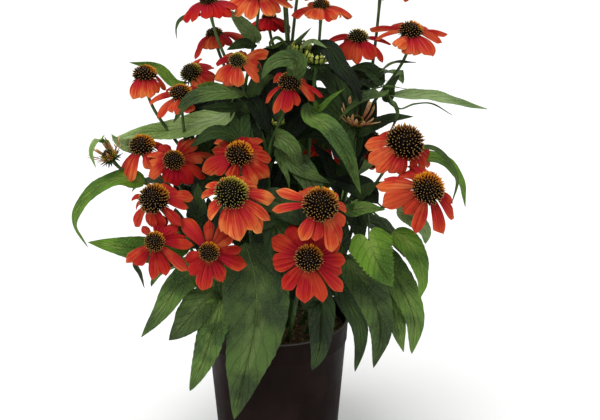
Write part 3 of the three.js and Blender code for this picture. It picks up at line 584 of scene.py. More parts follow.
def mottled_finish(name, roughness, dark, light, scale, depth, stretch=(1, 1, 1)):
    look = Look(name, roughness)
    coarse = look.grain(look.place, scale, 4.0, stretch)
    fine = look.grain(look.place, scale * 6, 3.0, stretch)
    blend = look.scaled(fine, 0.45, look.scaled(coarse, 0.6))
    dullness = look.eased(fine, 0.3, 0.7, roughness - 0.05, roughness + 0.05)
    return look.done(look.ramped(blend, (0.38, 0.66), (dark, light)), blend, 0.5, depth, dullness)


def pot_finish(name, dark, light, dust, painted_lip_highlight):
    """Dark plastic with a clouded surface, dusty scuffs and a painted highlight: a paler band along the top
    of the lip.
    """
    look = Look(name, 0.5, 0.025)
    cloud = look.grain(look.place, 22.0, 5.0)
    scuff = look.grain(look.place, 90.0, 6.0, (1, 1, 0.25))
    speck = look.grain(look.place, 1400.0, 1.0)
    height = look.parts(look.place)[2]
    # Painted highlight: the top of the lip turns towards a pale grey.
    edge = look.eased(height, (POT_HEIGHT - 1.6) * MM, (POT_HEIGHT - 0.5) * MM, 0.0, 0.7)
    shade = look.mixed(look.eased(cloud, 0.35, 0.7), dark, light)
    shade = look.mixed(look.eased(scuff, 0.6, 0.8, 0.0, 0.16), shade, dust)
    dullness = look.eased(scuff, 0.3, 0.75, 0.45, 0.62)
    return look.done(look.mixed(edge, shade, painted_lip_highlight), look.scaled(speck, 0.6, cloud), 0.12, 0.0005, dullness)


CRIMSON = ("4c040a", "900a18", "ac0f12", "c02218")
SALMON = ("8c1a1c", "c83626", "e86a30", "f4a45a")
# Rose crimson, painted as shade on the rays.
PAINTED_SHADE_ROSE = "a81430"

FINISHES = {name: make(name, *tones) for name, (make, *tones) in {
    "ray": (ray_finish, CRIMSON, SALMON),
    "ray_young": (plain_ray_finish, "6c8226", "ccd06c"),
    "ray_spent": (plain_ray_finish, "8c4226", "dcbc88"),
    "leaf_mid": (leaf_finish, "28381a", "4e682e", "84985a", 0.5),
    "leaf_dark": (leaf_finish, "182410", "31481f", "5c7238", 0.48),
    "leaf_bright": (leaf_finish, "3c5c1a", "668e28", "a0b460", 0.52),
    "leaf_quilt": (leaf_finish, "2e461c", "638436", "98aa64", 0.46),
    "leaf_pale": (leaf_finish, "5a743c", "849e62", "b4c890", 0.5),
    # leaf_light: the leaf green lightened as painted light, for leaves that stand in shade but should look
    # sunlit.
    "leaf_light": (leaf_finish, "7c9c4c", "a8c47c", "ccdcac", 0.5),
    # leaf_deep: the leaf green darkened as painted shade, for leaves in the shadowed middle of the plant.
    "leaf_deep": (leaf_finish, "0a1208", "182611", "34461f", 0.6),
    "leaf_under": (underside_finish, "48602f", "728c50"),
    "calyx": (leaf_finish, "1c3212", "3c5a24", "5c7a38", 0.6),
    "cone_amber": (spine_finish, "100605", "a84c0c", "ec9c20", "bc9450"),
    "cone_green": (spine_finish, "0e0805", "9c7e18", "e0c644", "b4aa5a"),
    "cone_bud": (spine_finish, "10180a", "30481a", "7c9438", "64842c"),
    "stem": (mottled_finish, 0.55, "26381a", "4c6a2c", 40.0, 0.0006, (6, 6, 0.6)),
    "soil": (mottled_finish, 0.96, "382819", "786047", 190.0, 0.004),
    "crumb_dark": (mottled_finish, 0.95, "44342a", "84705a", 300.0, 0.001),
    "crumb_bark": (mottled_finish, 0.9, "a07848", "d4b078", 300.0, 0.001),
    "crumb_pale": (mottled_finish, 0.85, "a89c88", "d4ccbc", 300.0, 0.001),
    "pot_plastic": (pot_finish, "1a1210", "261b19", "3c302c", "7c7674"),
}.items()}

# ---------------------------------------------------------------- tools for making pieces


def set_down():
    """Leaves edit mode and lets go of everything."""
    if bpy.context.object and bpy.context.object.mode != "OBJECT":
        bpy.ops.object.mode_set(mode="OBJECT")
    bpy.ops.object.select_all(action="DESELECT")


def pick(*pieces):
    set_down()
    for piece in pieces:
        piece.select_set(True)
    bpy.context.view_layer.objects.active = pieces[0]


def added(operator, **settings):
    """The piece that an operator adds."""
    set_down()
    operator(**settings)
    return bpy.context.object


def linked(name, data):
    piece = bpy.data.objects.new(name, data)
    bpy.context.scene.collection.objects.link(piece)
    return piece


def take_mesh(piece):
    """Keeps a pattern piece's mesh for copying, and removes the piece itself."""
    mesh = piece.data
    bpy.data.objects.remove(piece)
    return mesh


def points_of(mesh):
    points = np.empty(len(mesh.vertices) * 3)
    mesh.vertices.foreach_get("co", points)
    return points.reshape(-1, 3)


def set_points(mesh, points):
    mesh.vertices.foreach_set("co", np.ascontiguousarray(points, dtype=np.float32).ravel())
    mesh.update()


def corners_of(mesh):
    """Which point each corner of the faces stands on."""
    corners = np.empty(len(mesh.loops), int)
    mesh.loops.foreach_get("vertex_index", corners)
    return corners


def map_of(mesh):
    flat = np.empty(len(mesh.loops) * 2, np.float32)
    mesh.uv_layers[0].data.foreach_get("uv", flat)
    return flat.reshape(-1, 2)


def set_map(mesh, places):
    mesh.uv_layers[0].data.foreach_set("uv", np.ascontiguousarray(places, np.float32).ravel())


def copy_of(mesh, name, points=None):
    piece = linked(name, mesh.copy())
    if points is not None:
        set_points(piece.data, points)
    return piece


def joined(pieces, name):
    pick(*pieces)
    if len(pieces) > 1:
        bpy.ops.object.join()
    pieces[0].name = name
    pieces[0].data.name = name
    return pieces[0]


def thicken(piece, thickness, under=False):
    """Gives a sheet its thickness below its upper face, and its second finish there if under."""
    pick(piece)
    shell = piece.modifiers.new("thickness", "SOLIDIFY")
    shell.thickness = thickness * MM
    shell.offset = -1.0
    shell.material_offset = int(under)
    bpy.ops.object.modifier_apply(modifier=shell.name)


def dress(piece, finish, slot, *nodes, angle=40):
    """Gives a piece its finish and shading, and hangs it on the plant."""
    if finish:
        piece.data.materials.append(FINISHES[finish])
    pick(piece)
    bpy.ops.object.shade_smooth_by_angle(angle=math.radians(angle))
    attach(piece, "root")
    for node in nodes:
        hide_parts(node)


def dress_leaf(leaf, finish, *nodes):
    for name in (finish, "leaf_under"):
        leaf.data.materials.append(FINISHES[name])
    thicken(leaf, LEAF_THICKNESS, under=True)
    dress(leaf, None, "leaf", *nodes, angle=60)


def on_ring(turn):
    return Vector((math.cos(turn), math.sin(turn), 0))


def facing(compass, tilt):
    turn, lean = math.radians(compass), math.radians(tilt)
    return Vector((math.sin(lean) * math.cos(turn), math.sin(lean) * math.sin(turn), math.cos(lean)))


def unit(rows):
    return rows / np.linalg.norm(rows, axis=-1, keepdims=True)


def even_run(points, count=40):
    """Evenly spaced places on a smooth curve through the points."""
    points = np.asarray(points, float)
    through = np.vstack([2 * points[0] - points[1], points, 2 * points[-1] - points[-2]])
    share = np.linspace(0, 1, 12, endpoint=False)[:, None]
    fine = [b + 0.5 * share * (c - a + share * (2 * a - 5 * b + 4 * c - d + share * (3 * b - 3 * c + d - a)))
            for a, b, c, d in zip(through, through[1:], through[2:], through[3:])]
    fine = np.vstack(fine + [points[-1:]])
    reach = np.r_[0, np.cumsum(np.linalg.norm(np.diff(fine, axis=0), axis=1))]
    even = np.linspace(0, reach[-1], count)
    return np.stack([np.interp(even, reach, fine[:, k]) for k in range(3)], axis=1)


def arc_run(start, out, up, length, bend, count=24):
    """A run that leaves start towards out and turns from the first angle to the last."""
    angles = np.radians(np.linspace(bend[0], bend[1], count - 1))[:, None]
    steps = (np.cos(angles) * out + np.sin(angles) * up) * length / (count - 1)
    return np.vstack([start, start + np.cumsum(steps, axis=0)])


def bezier_run(*controls):
    """A run along a Bezier curve."""
    share = np.linspace(0, 1, 24)[:, None]
    last = len(controls) - 1
    return sum(math.comb(last, k) * share ** k * (1 - share) ** (last - k) * np.array(control)
               for k, control in enumerate(controls))


def lay_along(pattern, name, run, up, half, swell=1.0, twist=0.0):
    """A copy of a flat pattern, bent along a run: x goes across it, y along it and z above it."""
    flat = points_of(pattern)
    ahead = unit(np.gradient(run, axis=0))
    side = unit(np.cross(ahead, up))
    over = np.cross(side, ahead)
    turn = math.radians(twist) * np.linspace(0, 1, len(run))[:, None]
    side, over = side * np.cos(turn) + over * np.sin(turn), over * np.cos(turn) - side * np.sin(turn)
    inside = np.clip(flat[:, 1], 0, 1)
    at = inside * (len(run) - 1)
    low = np.minimum(at.astype(int), len(run) - 2)
    share = (at - low)[:, None]

    def along(rows):
        return rows[low] * (1 - share) + rows[low + 1] * share

    beyond = (flat[:, 1] - inside)[:, None] * np.linalg.norm(np.diff(run, axis=0), axis=1).sum()
    places = (along(run) + along(ahead) * beyond + along(side) * flat[:, :1] * half
              + along(over) * flat[:, 2:] * half * swell)
    return copy_of(pattern, name, places * MM)


# ---------------------------------------------------------------- patterns that are copied


def flat_grid(columns, rows):
    """A grid, its points' places across it from -1 to 1, and along it from 0 to 1."""
    piece = added(bpy.ops.mesh.primitive_grid_add, x_subdivisions=columns, y_subdivisions=rows, size=2)
    flat = points_of(piece.data)
    return piece, flat[:, 0], (flat[:, 1] + 1) / 2


def pattern_of(piece, *places):
    set_points(piece.data, np.stack(places, 1))
    return take_mesh(piece)


def leaf_outline(shape, along, blade):
    """Half the width of a leaf, as a share of its greatest."""
    if shape == "heart":
        width = np.minimum(0.8 + blade / 0.3, 1) * (1 - blade ** 1.6) ** 0.9
    else:
        rise, fullness = LEAF_OUTLINES[shape]
        width = np.sin(np.pi * blade ** rise).clip(0) ** fullness
    return np.maximum(width, 0.055 * (1 - along) + 0.012)


def make_leaf_pattern(shape, number, columns=14, rows=46):
    """A leaf, 1 long: toothed, quilted between its side veins, waved, grooved and folded."""
    rng = random.Random(f"{shape} leaf {number}")
    piece, even, along = flat_grid(columns, rows)
    across = np.sign(even) * np.abs(even) ** 1.25
    off = np.abs(across)
    blade = np.clip((along - PETIOLES[shape]) / (1 - PETIOLES[shape]), 0, 1)
    body = np.sin(np.pi * blade)
    teeth = 1 - BITES[shape] * off ** 5 * (along * 15.3 % 1) * body
    slope = along * VEIN_PAIRS - np.abs(even) * VEIN_SLANT
    quilt = 0.1 * np.abs(np.sin(np.pi * slope)) * off ** 0.5 * (1 - off ** 4) * body
    wave = sum(rng.uniform(0.02, 0.05) * np.sin(np.pi * (k + 2) * 2 * along + rng.uniform(0, 6)
               + (across > 0) * rng.uniform(1, 3)) for k in range(3)) * off ** 2 * body
    groove = 0.07 * np.exp(-(off / 0.09) ** 2) * body
    fold = rng.uniform(0.1, 0.24) * off * np.sin(np.pi * blade ** 0.6)
    keel = 0.05 * (1 - blade) ** 6 * off
    lobes = 0.19 * np.sin(np.pi * off).clip(0) ** 0.55 * np.exp(-blade / 0.14)
    back = lobes if shape == "heart" else 0
    return pattern_of(piece, across * leaf_outline(shape, along, blade) * teeth, along - back,
                      quilt + wave - groove + fold - keel)


def make_ray_pattern(number):
    """One ray floret, 1 long: narrow at its root, ribbed, with a rounded toothed tip."""
    rng = random.Random(f"ray {number}")
    piece, across, even = flat_grid(9, 13)
    along = 1 - (1 - even) ** 1.5
    widest = rng.uniform(0.62, 0.76)
    root = 0.33 + 0.67 * np.sin(np.pi / 2 * np.clip(along / widest, 0, 1)) ** 1.2
    end = (1 - (0.985 * np.clip((along - widest) / (1 - widest), 0, 1)) ** 2.4) ** 0.55
    teeth = rng.uniform(0.006, 0.024) * np.cos(3 * np.pi * across)
    tip = along ** 7 * (-rng.uniform(0.0, 0.05) * across ** 2 + teeth + rng.uniform(-0.04, 0.04) * across)
    ribs = 0.1 * np.cos(3 * np.pi * across) * np.sin(np.pi * along) ** 0.5
    curl = -rng.choice((0.15, 0.3, 0.45, 0.6, -0.25)) * across ** 2 * (0.5 + 0.5 * along)
    ripple = 0.07 * np.sin(6 * along + rng.uniform(0, 6)) * across
    return pattern_of(piece, across * np.where(along < widest, root, end), along + tip,
                      ribs + curl + ripple)


def make_bract_pattern():
    """A small pointed scale, 1 long."""
    piece, across, along = flat_grid(2, 5)
    width = np.maximum(1 - along ** 1.8, 0.06)
    return pattern_of(piece, across * width, along, -0.3 * across ** 2 * width)


def make_spine_pattern():
    """A five-sided spine, 1 long and 1 in radius at its foot."""
    piece = added(bpy.ops.mesh.primitive_circle_add, vertices=5, radius=1, fill_type="NGON")
    bpy.ops.object.mode_set(mode="EDIT")
    bpy.ops.mesh.select_all(action="SELECT")
    for rise, width in ((0.5, 0.82), (0.34, 0.66), (0.16, 0.4)):
        bpy.ops.mesh.extrude_region_move(TRANSFORM_OT_translate={"value": (0, 0, rise)})
        bpy.ops.transform.resize(value=(width, width, 1))
    bpy.ops.mesh.select_all(action="SELECT")
    bpy.ops.mesh.normals_make_consistent(inside=False)
    set_down()
    return take_mesh(piece)


def make_cone_pattern(number, count, spine_length, spine_width):
    """A domed cone, 1 in radius, set with spines in two families of spirals."""
    rng = random.Random(f"cone {number}")
    dome = added(bpy.ops.mesh.primitive_uv_sphere_add, segments=20, ring_count=12, radius=1)
    points = points_of(dome.data) * (DOME_RADIUS, DOME_RADIUS, DOME_RISE)
    points[:, 2] = np.where(points[:, 2] > 0, points[:, 2], points[:, 2] * DOME_FLATNESS)
    set_points(dome.data, points)
    set_map(dome.data, np.zeros((len(dome.data.loops), 2)))
    spine_points = points_of(SPINE)
    heights = spine_points[corners_of(SPINE), 2]
    pieces = [dome]
    for i in range(count):
        share = (i + 0.5) / count
        height = 1 - share * 1.06
        ring = math.sqrt(max(1 - height * height, 0))
        turn = i * GOLDEN_TURN + rng.uniform(-0.05, 0.05) / max(ring, 0.2)
        out = on_ring(turn) * ring
        foot = out * DOME_RADIUS
        foot.z = DOME_RISE * height if height > 0 else DOME_FLATNESS * height
        out.z = height * 0.8 + 0.22
        out = (out.normalized() + Vector([rng.uniform(-0.1, 0.1) for _ in range(3)])).normalized()
        length = spine_length * (0.6 + 0.4 * min(share * 2.5, 1)) * rng.uniform(0.85, 1.12)
        width = spine_width * (0.7 + 0.3 * min(share * 3, 1))
        turned = np.array(out.to_track_quat("Z", "Y").to_matrix())
        placed = (spine_points * (width, width, length)) @ turned.T + np.array(foot - out * 0.03)
        spine = copy_of(SPINE, "spine", placed)
        set_map(spine.data, np.stack([np.full(len(heights), share), heights], 1))
        pieces.append(spine)
    return take_mesh(joined(pieces, f"cone_pattern_{number}"))


SPINE = make_spine_pattern()
LARGE_CONES = [make_cone_pattern(number, 215, 0.35, 0.054) for number in (0, 1)]
SMALL_CONES = [make_cone_pattern(number, 130, 0.36, 0.07) for number in (2, 3)]
BUD_CONE = make_cone_pattern(4, 70, 0.5, 0.05)
RAYS = [make_ray_pattern(number) for number in range(8)]
BRACT = make_bract_pattern()
LEAF_PATTERNS = {shape: [make_leaf_pattern(shape, number) for number in range(3)] for shape in PETIOLES}
LIGHT_LEAVES = [make_leaf_pattern("lance", number, 8, 20) for number in (4, 5)]

# ---------------------------------------------------------------- stems

# Where each head sits on its stem, the way it faces, and how far below it the stem stops.
HEADS = {}
for name, at, face, cone, *_ in FLOWERS:
    HEADS[name] = (Vector(at) - facing(*face) * cone * HEAD_SEAT, facing(*face), HEAD_STOP)
for name, at, face, radius, *_ in BUDS:
    HEADS[name] = (Vector(at) - facing(*face) * radius * BUD_SEAT, facing(*face), BUD_STOP)


def trunk_run(carries, fork):
    """From the crown in the soil, leaning out towards the heads that the stalk carries, to its fork."""
    middle = sum((HEADS[name][0] for name in carries), Vector()) / len(carries)
    middle.z = 0
    root = middle.normalized() * min(max(middle.length * CROWN_SPREAD, CROWN_LEAST), CROWN_MOST)
    root.z = SOIL_CROWN - STALK_DEPTH
    bend = root.lerp(Vector(fork), TRUNK_BEND[0])
    bend.z = root.z + (fork[2] - root.z) * TRUNK_BEND[1]
    return bezier_run(root, bend, Vector(fork))


def branch_run(trunk, name):
    seat, axis, stop = HEADS[name]
    along = (trunk[-1] - trunk[-2]) / np.linalg.norm(trunk[-1] - trunk[-2])
    start = trunk[-1] - along * FORK_OVERLAP
    end = np.array(seat - axis * stop)
    reach = np.linalg.norm(end - start) * BRANCH_BEND
    return bezier_run(start, start + along * reach, end - np.array(axis) * reach, end)


def make_rods(name, runs, thick, thin, flare=0.0):
    """Round rods along runs, from thick to thin, which flare out at their far ends."""
    curve = bpy.data.curves.new(name, "CURVE")
    curve.dimensions = "3D"
    curve.bevel_depth = MM
    curve.bevel_resolution = 2
    curve.use_fill_caps = True
    for run in runs:
        spline = curve.splines.new("POLY")
        spline.points.add(len(run) - 1)
        for i, (point, place) in enumerate(zip(spline.points, run * MM)):
            share = i / (len(run) - 1)
            point.co = (*place, 1)
            point.radius = thick + (thin - thick) * share + max(share - 0.86, 0) * flare
    pick(linked(name, curve))
    bpy.ops.object.convert(target="MESH")
    return bpy.context.object


RUNS = {}
for number, (carries, fork) in enumerate(STALKS, 1):
    trunk = RUNS[number, None] = trunk_run(carries, fork)
    for name in carries:
        RUNS[number, name] = branch_run(trunk, name)

for number, (carries, _) in enumerate(STALKS, 1):
    node = f"stalk_{number:02d}"
    trunk = make_rods("trunk", [RUNS[number, None]], TRUNK_RADIUS * 1.12, TRUNK_RADIUS * 0.9)
    branches = make_rods("branches", [RUNS[number, name] for name in carries],
                         BRANCH_RADIUS * 1.1, BRANCH_RADIUS * 0.9, 7)
    dress(joined([branches, trunk], f"{node}_stems"), "stem", "stalk", node, angle=60)

# ---------------------------------------------------------------- flower heads


def outward(axis, turn):
    """The way that points out from an axis, at a turn round it."""
    return np.array(axis.to_track_quat("Z", "Y") @ on_ring(turn))


def bent(bend, shift):
    """The two angles of a bend, shifted, the last one more, and neither straight down."""
    return [max(angle + shift * (0.4 + 0.9 * k), STEEPEST) for k, angle in enumerate(bend)]


def ring_of(patterns, head, count, radius, length, half, bend, rng, loose=1.0, lift=0.0):
    """Blades set round a head, each a little different from the next."""
    seat, axis, _ = head
    up = np.array(axis)
    blades = []
    for i in range(count):
        out = outward(axis, 2 * math.pi * (i + rng.uniform(-0.22, 0.22) * loose) / count)
        start = np.array(seat) + out * radius + up * (lift + (i % 2) * 0.7)
        bends = bent(bend, rng.uniform(-9, 9) * loose)
        run = arc_run(start, out, up, length * rng.uniform(1 - 0.12 * loose, 1 + 0.08 * loose), bends)
        blades.append(lay_along(
            rng.choice(patterns), "blade", run, up, half * rng.uniform(0.88, 1.12),
            swell=rng.uniform(0.6, 1.5), twist=rng.uniform(-16, 16) * loose))
    return blades


def seen(offset):
    """How far an offset goes to the right, and up, as the front view shows it."""
    return offset[0], offset[1] * math.sin(TILT) + offset[2] * math.cos(TILT)


def way_round(first, last):
    """The short way round from one angle to another."""
    return (last - first + math.pi) % (2 * math.pi) - math.pi


def ray_run(head, turn, radius, length, bend):
    seat, axis, _ = head
    out = outward(axis, turn)
    return arc_run(np.array(seat) + out * radius, out, np.array(axis), length, bend, 16)


def aimed(head, middle, angle, reach, radius, usual, bend):
    """The way round the head, the length and the droop that bring a ray's tip to its seen place."""
    goal = reach * np.array((math.cos(math.radians(angle)), math.sin(math.radians(angle))))
    tries = []
    for turn in np.radians(np.arange(0, 360, 6)):
        for shift in (-12, 0, 12, 24):
            bends = bent(bend, shift)
            near, far = (np.array(seen(ray_run(head, turn, radius, length, bends)[-1] - middle))
                         for length in (0, 1))
            step = far - near
            length = min(max(step @ (goal - near) / max(step @ step, 0.05), 0.65 * usual), 1.5 * usual)
            miss = np.linalg.norm(near + step * length - goal)
            tries.append((miss + 0.08 * abs(shift) + 0.1 * abs(length - usual), turn, length, bends))
    return min(tries)[1:]


def tinted(ray, warmth, rng):
    """Writes a ray's warmth in the whole part of its map across, with tens that shift its streaks."""
    places = map_of(ray.data)
    places[:, 0] = (places[:, 0] * MAP_SHARE + MAP_MARGIN + min(max(warmth, 0), WARMEST)
                    + 10 * rng.randrange(9))
    set_map(ray.data, places)
    return ray


def make_rays(name, middle, radius, ray, bend, count, warmth, rng):
    """The rays that the front view shows, then the rest of the ring behind the cone."""
    head = HEADS[name]
    up = np.array(head[1])
    chosen = []
    for angle, reach, half, warm in SEEN_RAYS.get(name, ()):
        turn, length, bends = aimed(head, np.array(middle), angle, reach, radius, ray, bend)
        chosen.append((turn, length, half * (SLIM_WIDTH if name in SLIM_RAYED else FULL_WIDTH), warm, bends))
    taken = [turn for turn, *_ in chosen]
    limp = LIMP_DROP if name in LIMP_BEHIND else 0
    for i in range(count):
        turn = 2 * math.pi * (i + rng.uniform(-0.22, 0.22)) / count
        rise = seen(ray_run(head, turn, radius, ray, (0, 0))[-1] - middle)[1]
        free = all(abs(way_round(turn, other)) > 5.0 / count for other in taken)
        if not taken or (free and rise > 0.35 * ray):
            bends = bent(bend, limp + rng.uniform(-10, 10))
            chosen.append((turn, ray * rng.uniform(0.86, 1.08), ray * rng.uniform(0.21, 0.28),
                           warmth + rng.choice((-1, 0, 0, 1)), bends))
    rays = []
    for i, (turn, length, half, warm, bends) in enumerate(chosen):
        run = ray_run(head, turn, radius, length, bends) + up * (0.55 * (i % 3))
        blade = lay_along(rng.choice(RAYS), "ray", run, up, half,
                          swell=rng.uniform(0.7, 1.5), twist=rng.uniform(-22, 22))
        rays.append(tinted(blade, warm, rng))
    return rays


def dress_rays(rays, name, finish, *nodes):
    rays = joined(rays, f"{name}_rays")
    thicken(rays, RAY_THICKNESS)
    dress(rays, finish, "flower", *nodes, angle=60)


def seat_cone(pattern, name, head, *shape):
    """A copy of a cone, turned or scaled by shape and set on its head."""
    seat, axis, _ = head
    cone = copy_of(pattern, f"{name}_cone")
    place = Matrix.Translation(seat * MM) @ axis.to_track_quat("Z", "Y").to_matrix().to_4x4()
    for step in shape:
        place = place @ step
    cone.data.transform(place)
    return cone


def make_calyx(name, head, whorls, ring, radius, rng, *nodes):
    """Whorls of bracts under a cone: the length, the bend and the lift of each."""
    bracts = []
    count, seat, half = ring
    for length, bend, lift in whorls:
        bracts += ring_of([BRACT], head, count, radius * seat, length, half, bend, rng, 0.8, lift)
    calyx = joined(bracts, f"{name}_calyx")
    thicken(calyx, BRACT_THICKNESS)
    dress(calyx, "calyx", "stalk", *nodes, angle=50)


def sun_spines(cone, middle, radius, gain):
    """Turns the first part of a cone's map into painted sunlight, how far a spine faces SUN_SIDE: the outer
    ones on top most.
    """
    places = map_of(cone.data)
    rise = (points_of(cone.data)[corners_of(cone.data)] / MM - middle) @ SUN_SIDE / radius
    places[:, 0] = (0.5 + np.clip(places[:, 0], 0, 0.5)) * np.clip(rise * 0.9 + 0.3, 0, 1) * gain
    set_map(cone.data, places)


def make_head(name, middle, radius, ray, bend, count, warmth):
    rng = random.Random(name)
    head, node = HEADS[name], name.replace("f", "flower_")
    dress_rays(make_rays(name, middle, radius * RAY_SEAT, ray, bend, count, warmth, rng), node, "ray", node)

    large = radius > LARGE_CONE
    turn = Matrix.Rotation(rng.uniform(0, 6.28), 4, "Z")
    size = CONE_SIZE * radius * MM
    shape = Matrix.Diagonal((size, size, size * (1 if large else SMALL_CONE_RISE), 1))
    cone = seat_cone(rng.choice(LARGE_CONES if large else SMALL_CONES), node, head, turn, shape)
    sun_spines(cone, middle, radius, SUNNY_GAIN if name in SUNNY_HEADS else SHADY_GAIN)
    dress(cone, "cone_green" if name in GREEN_CONES else "cone_amber", "cone", node, angle=50)

    whorls = [(length + radius * 0.25, angles, lift) for length, angles, lift in CALYX_WHORLS]
    make_calyx(node, head, whorls, CALYX_RING, radius, rng, node)


# What differs between buds and spent heads: cone, its finish, the rays' finish, how far out they
# stand, their bend and how loose they are.
BUD_KINDS = {
    "bud": (BUD_CONE, "cone_bud", "ray_young", RAY_SEAT, (15, 125), 0.6),
    "spent": (SMALL_CONES[0], "cone_green", "ray_spent", 0.62, (40, 62), 2.6),
}


def make_bud(name, radius, ray, half, kind):
    rng = random.Random(name)
    head, label = HEADS[name], f"{kind}_{name}"
    pattern, cone_finish, finish, inset, bend, loose = BUD_KINDS[kind]
    cone = seat_cone(pattern, label, head, Matrix.Scale(BUD_CONE_SIZE * radius * MM, 4))
    dress(cone, cone_finish, "cone", angle=50)
    dress_rays(ring_of(RAYS, head, BUD_RAYS, radius * inset, ray, half, bend, rng, loose), label, finish)
    whorls = [(length * radius, angles, lift) for length, angles, lift in BUD_WHORLS]
    make_calyx(label, head, whorls, BUD_RING, radius, rng)


for name, at, _, cone, ray, bend, count, warmth in FLOWERS:
    make_head(name, at, cone, ray, bend, count, warmth)

for name, _, _, radius, ray, half, kind in BUDS:
    make_bud(name, radius, ray, half, kind)

# ---------------------------------------------------------------- leaves


def stem_place(stalk, branch, share):
    run = RUNS[stalk, branch]
    return run[round(share * (len(run) - 1))]


def make_leaf(number, run, up, half, shape, finish, *nodes):
    rng = random.Random(f"leaf {number}")
    leaf = lay_along(rng.choice(LEAF_PATTERNS[shape]), f"leaf_{number:02d}_blade", run,
                     np.array(up, float), half, swell=rng.uniform(0.8, 1.3), twist=rng.uniform(-10, 10))
    leaf.data.name = leaf.name
    dress_leaf(leaf, f"leaf_{finish}", *nodes)


for number, (stalk, branch, share, half, up, shape, finish, *rib) in enumerate(DRAWN_LEAVES, 1):
    nodes = [f"leaf_{number:02d}"] if number <= LEAF_NODES else []
    root = stem_place(stalk, branch, share)
    if PETIOLES[shape]:
        rib.insert(0, root)
    else:
        leaf_stalk = even_run([root, (root + rib[0]) / 2 + (0, -4, 6), rib[0]], 12)
        dress(make_rods(f"leaf_{number:02d}_stalk", [leaf_stalk], 1.1, 0.8), "stem", "leaf", *nodes, angle=60)
    make_leaf(number, even_run(rib), up, half, shape, finish, *nodes)

for number, (*source, compass, length, half, bend, shape, finish) in enumerate(GROWN_LEAVES,
                                                                               len(DRAWN_LEAVES) + 1):
    out = np.array(facing(compass, 90))
    run = arc_run(stem_place(*source), out, np.array((0, 0, 1.0)), length, bend, 40)
    make_leaf(number, run, (0.35 * out[0], 0.35 * out[1], 1), half, shape, finish)


def hides_a_head(run):
    """Whether a leaf along a run would stand before one of the front heads in the front view."""
    for _, at, _, cone, ray, *_ in FLOWERS:
        for offset in run[::5] - np.array(at):
            nearer = offset[2] * math.sin(TILT) - offset[1] * math.cos(TILT)
            if at[1] < FRONT and math.hypot(*seen(offset)) < cone + 0.8 * ray and nearer > -0.5 * ray:
                return True
    return False


def make_inner_leaves(name, count, middle, reach):
    """Leaves from random places in an egg, each grown from a stem that passes a leaf's length away."""
    rng = random.Random(name)
    stems = np.vstack(list(RUNS.values()))
    # Half of the inner leaves take leaf_deep, painted shade for the plant's shadowed middle.
    for finish in ("leaf_deep", "leaf_dark"):
        blades = []
        while len(blades) < count // 2:
            way = np.array([rng.gauss(0, 1) for _ in range(3)])
            tip = np.array(middle) + way / np.linalg.norm(way) * reach * rng.uniform(0.2, 1) ** 0.5
            length = rng.uniform(50, 85)
            gaps = np.abs(np.linalg.norm(stems - tip, axis=1) - length)
            gaps += 0.8 * np.maximum(stems[:, 2] - tip[2], 0)
            root = stems[gaps.argmin()]
            run = even_run([root, (root + tip) / 2 + (0, 0, length * rng.uniform(0.1, 0.3)), tip], 30)
            if root[2] > LOWEST_ROOT and not hides_a_head(run):
                up = np.array((rng.uniform(-0.4, 0.4), -0.7 if tip[1] < 25 else 0.7, rng.uniform(0.3, 0.9)))
                blades.append(lay_along(rng.choice(LIGHT_LEAVES), "leaf", run, up, rng.uniform(9, 15)))
        dress_leaf(joined(blades, f"{name}_{finish}"), finish)


for number, space in enumerate(INNER_LEAVES, 1):
    make_inner_leaves(f"inner_leaves_{number}", *space)

# ---------------------------------------------------------------- pot and soil


def spun(name, outline, steps):
    """A closed shell of revolution from an outline of (radius, height) pairs."""
    mesh = bpy.data.meshes.new(name)
    mesh.from_pydata([(r * MM, 0, z * MM) for r, z in outline],
                     [(i, i + 1) for i in range(len(outline) - 1)], [])
    piece = linked(name, mesh)
    pick(piece)
    bpy.ops.object.mode_set(mode="EDIT")
    bpy.ops.mesh.select_all(action="SELECT")
    bpy.ops.mesh.spin(steps=steps, angle=2 * math.pi, center=(0, 0, 0), axis=(0, 0, 1))
    bpy.ops.mesh.select_all(action="SELECT")
    bpy.ops.mesh.remove_doubles(threshold=1e-6)
    bpy.ops.mesh.normals_make_consistent(inside=False)
    set_down()
    return piece


def round_turn(centre, radius, first, last, count):
    """Points of an arc in the outline, by angle."""
    angles = [math.radians(first + (last - first) * i / count) for i in range(count + 1)]
    return [(centre[0] + radius * math.cos(a), centre[1] + radius * math.sin(a)) for a in angles]


def make_pot():
    foot = [(0, 0), (POT_FOOT - 8, 0), *round_turn((POT_FOOT, 5), 5, -90, -12, 6)]
    lip = round_turn((POT_RIM - LIP, POT_HEIGHT - LIP), LIP, -70, 180, 12)
    inside = [(r - POT_WALL, z) for r, z in reversed([foot[-1], *POT_SIDE[:-1]])]
    floor = [(POT_FOOT - 2, 2.6), (POT_FOOT - 6, POT_FLOOR), (0, POT_FLOOR)]
    pot = spun("pot_shell", foot + POT_SIDE + lip + inside + floor, POT_STEPS)
    for i in range(DRAINS):
        turn = 2 * math.pi / DRAINS * i
        bore = added(bpy.ops.mesh.primitive_cylinder_add, vertices=20, radius=DRAIN_RADIUS * MM,
                     depth=12 * MM, location=on_ring(turn) * DRAIN_CIRCLE * MM)
        pick(pot)
        cut = pot.modifiers.new("drain", "BOOLEAN")
        cut.object = bore
        cut.solver = "EXACT"
        bpy.ops.object.modifier_apply(modifier=cut.name)
        bpy.data.objects.remove(bore)
    dress(pot, "pot_plastic", "pot", "pot", angle=35)


def soil_height(x, y):
    """Lumps and crumbs of the soil's surface, in millimetres, added to its gentle crown."""
    reach = math.hypot(x, y) / (SOIL_RADIUS + 1)
    crown = SOIL_CROWN - (SOIL_CROWN - SOIL_EDGE) * reach ** 2 - 2
    lumps = noise.fractal(Vector((x, y, 0)) * 0.09, 0.8, 2.2, 5)
    grit = noise.noise(Vector((x, y, 7)) * 0.5)
    return crown + lumps * 2.2 + grit * 1.2


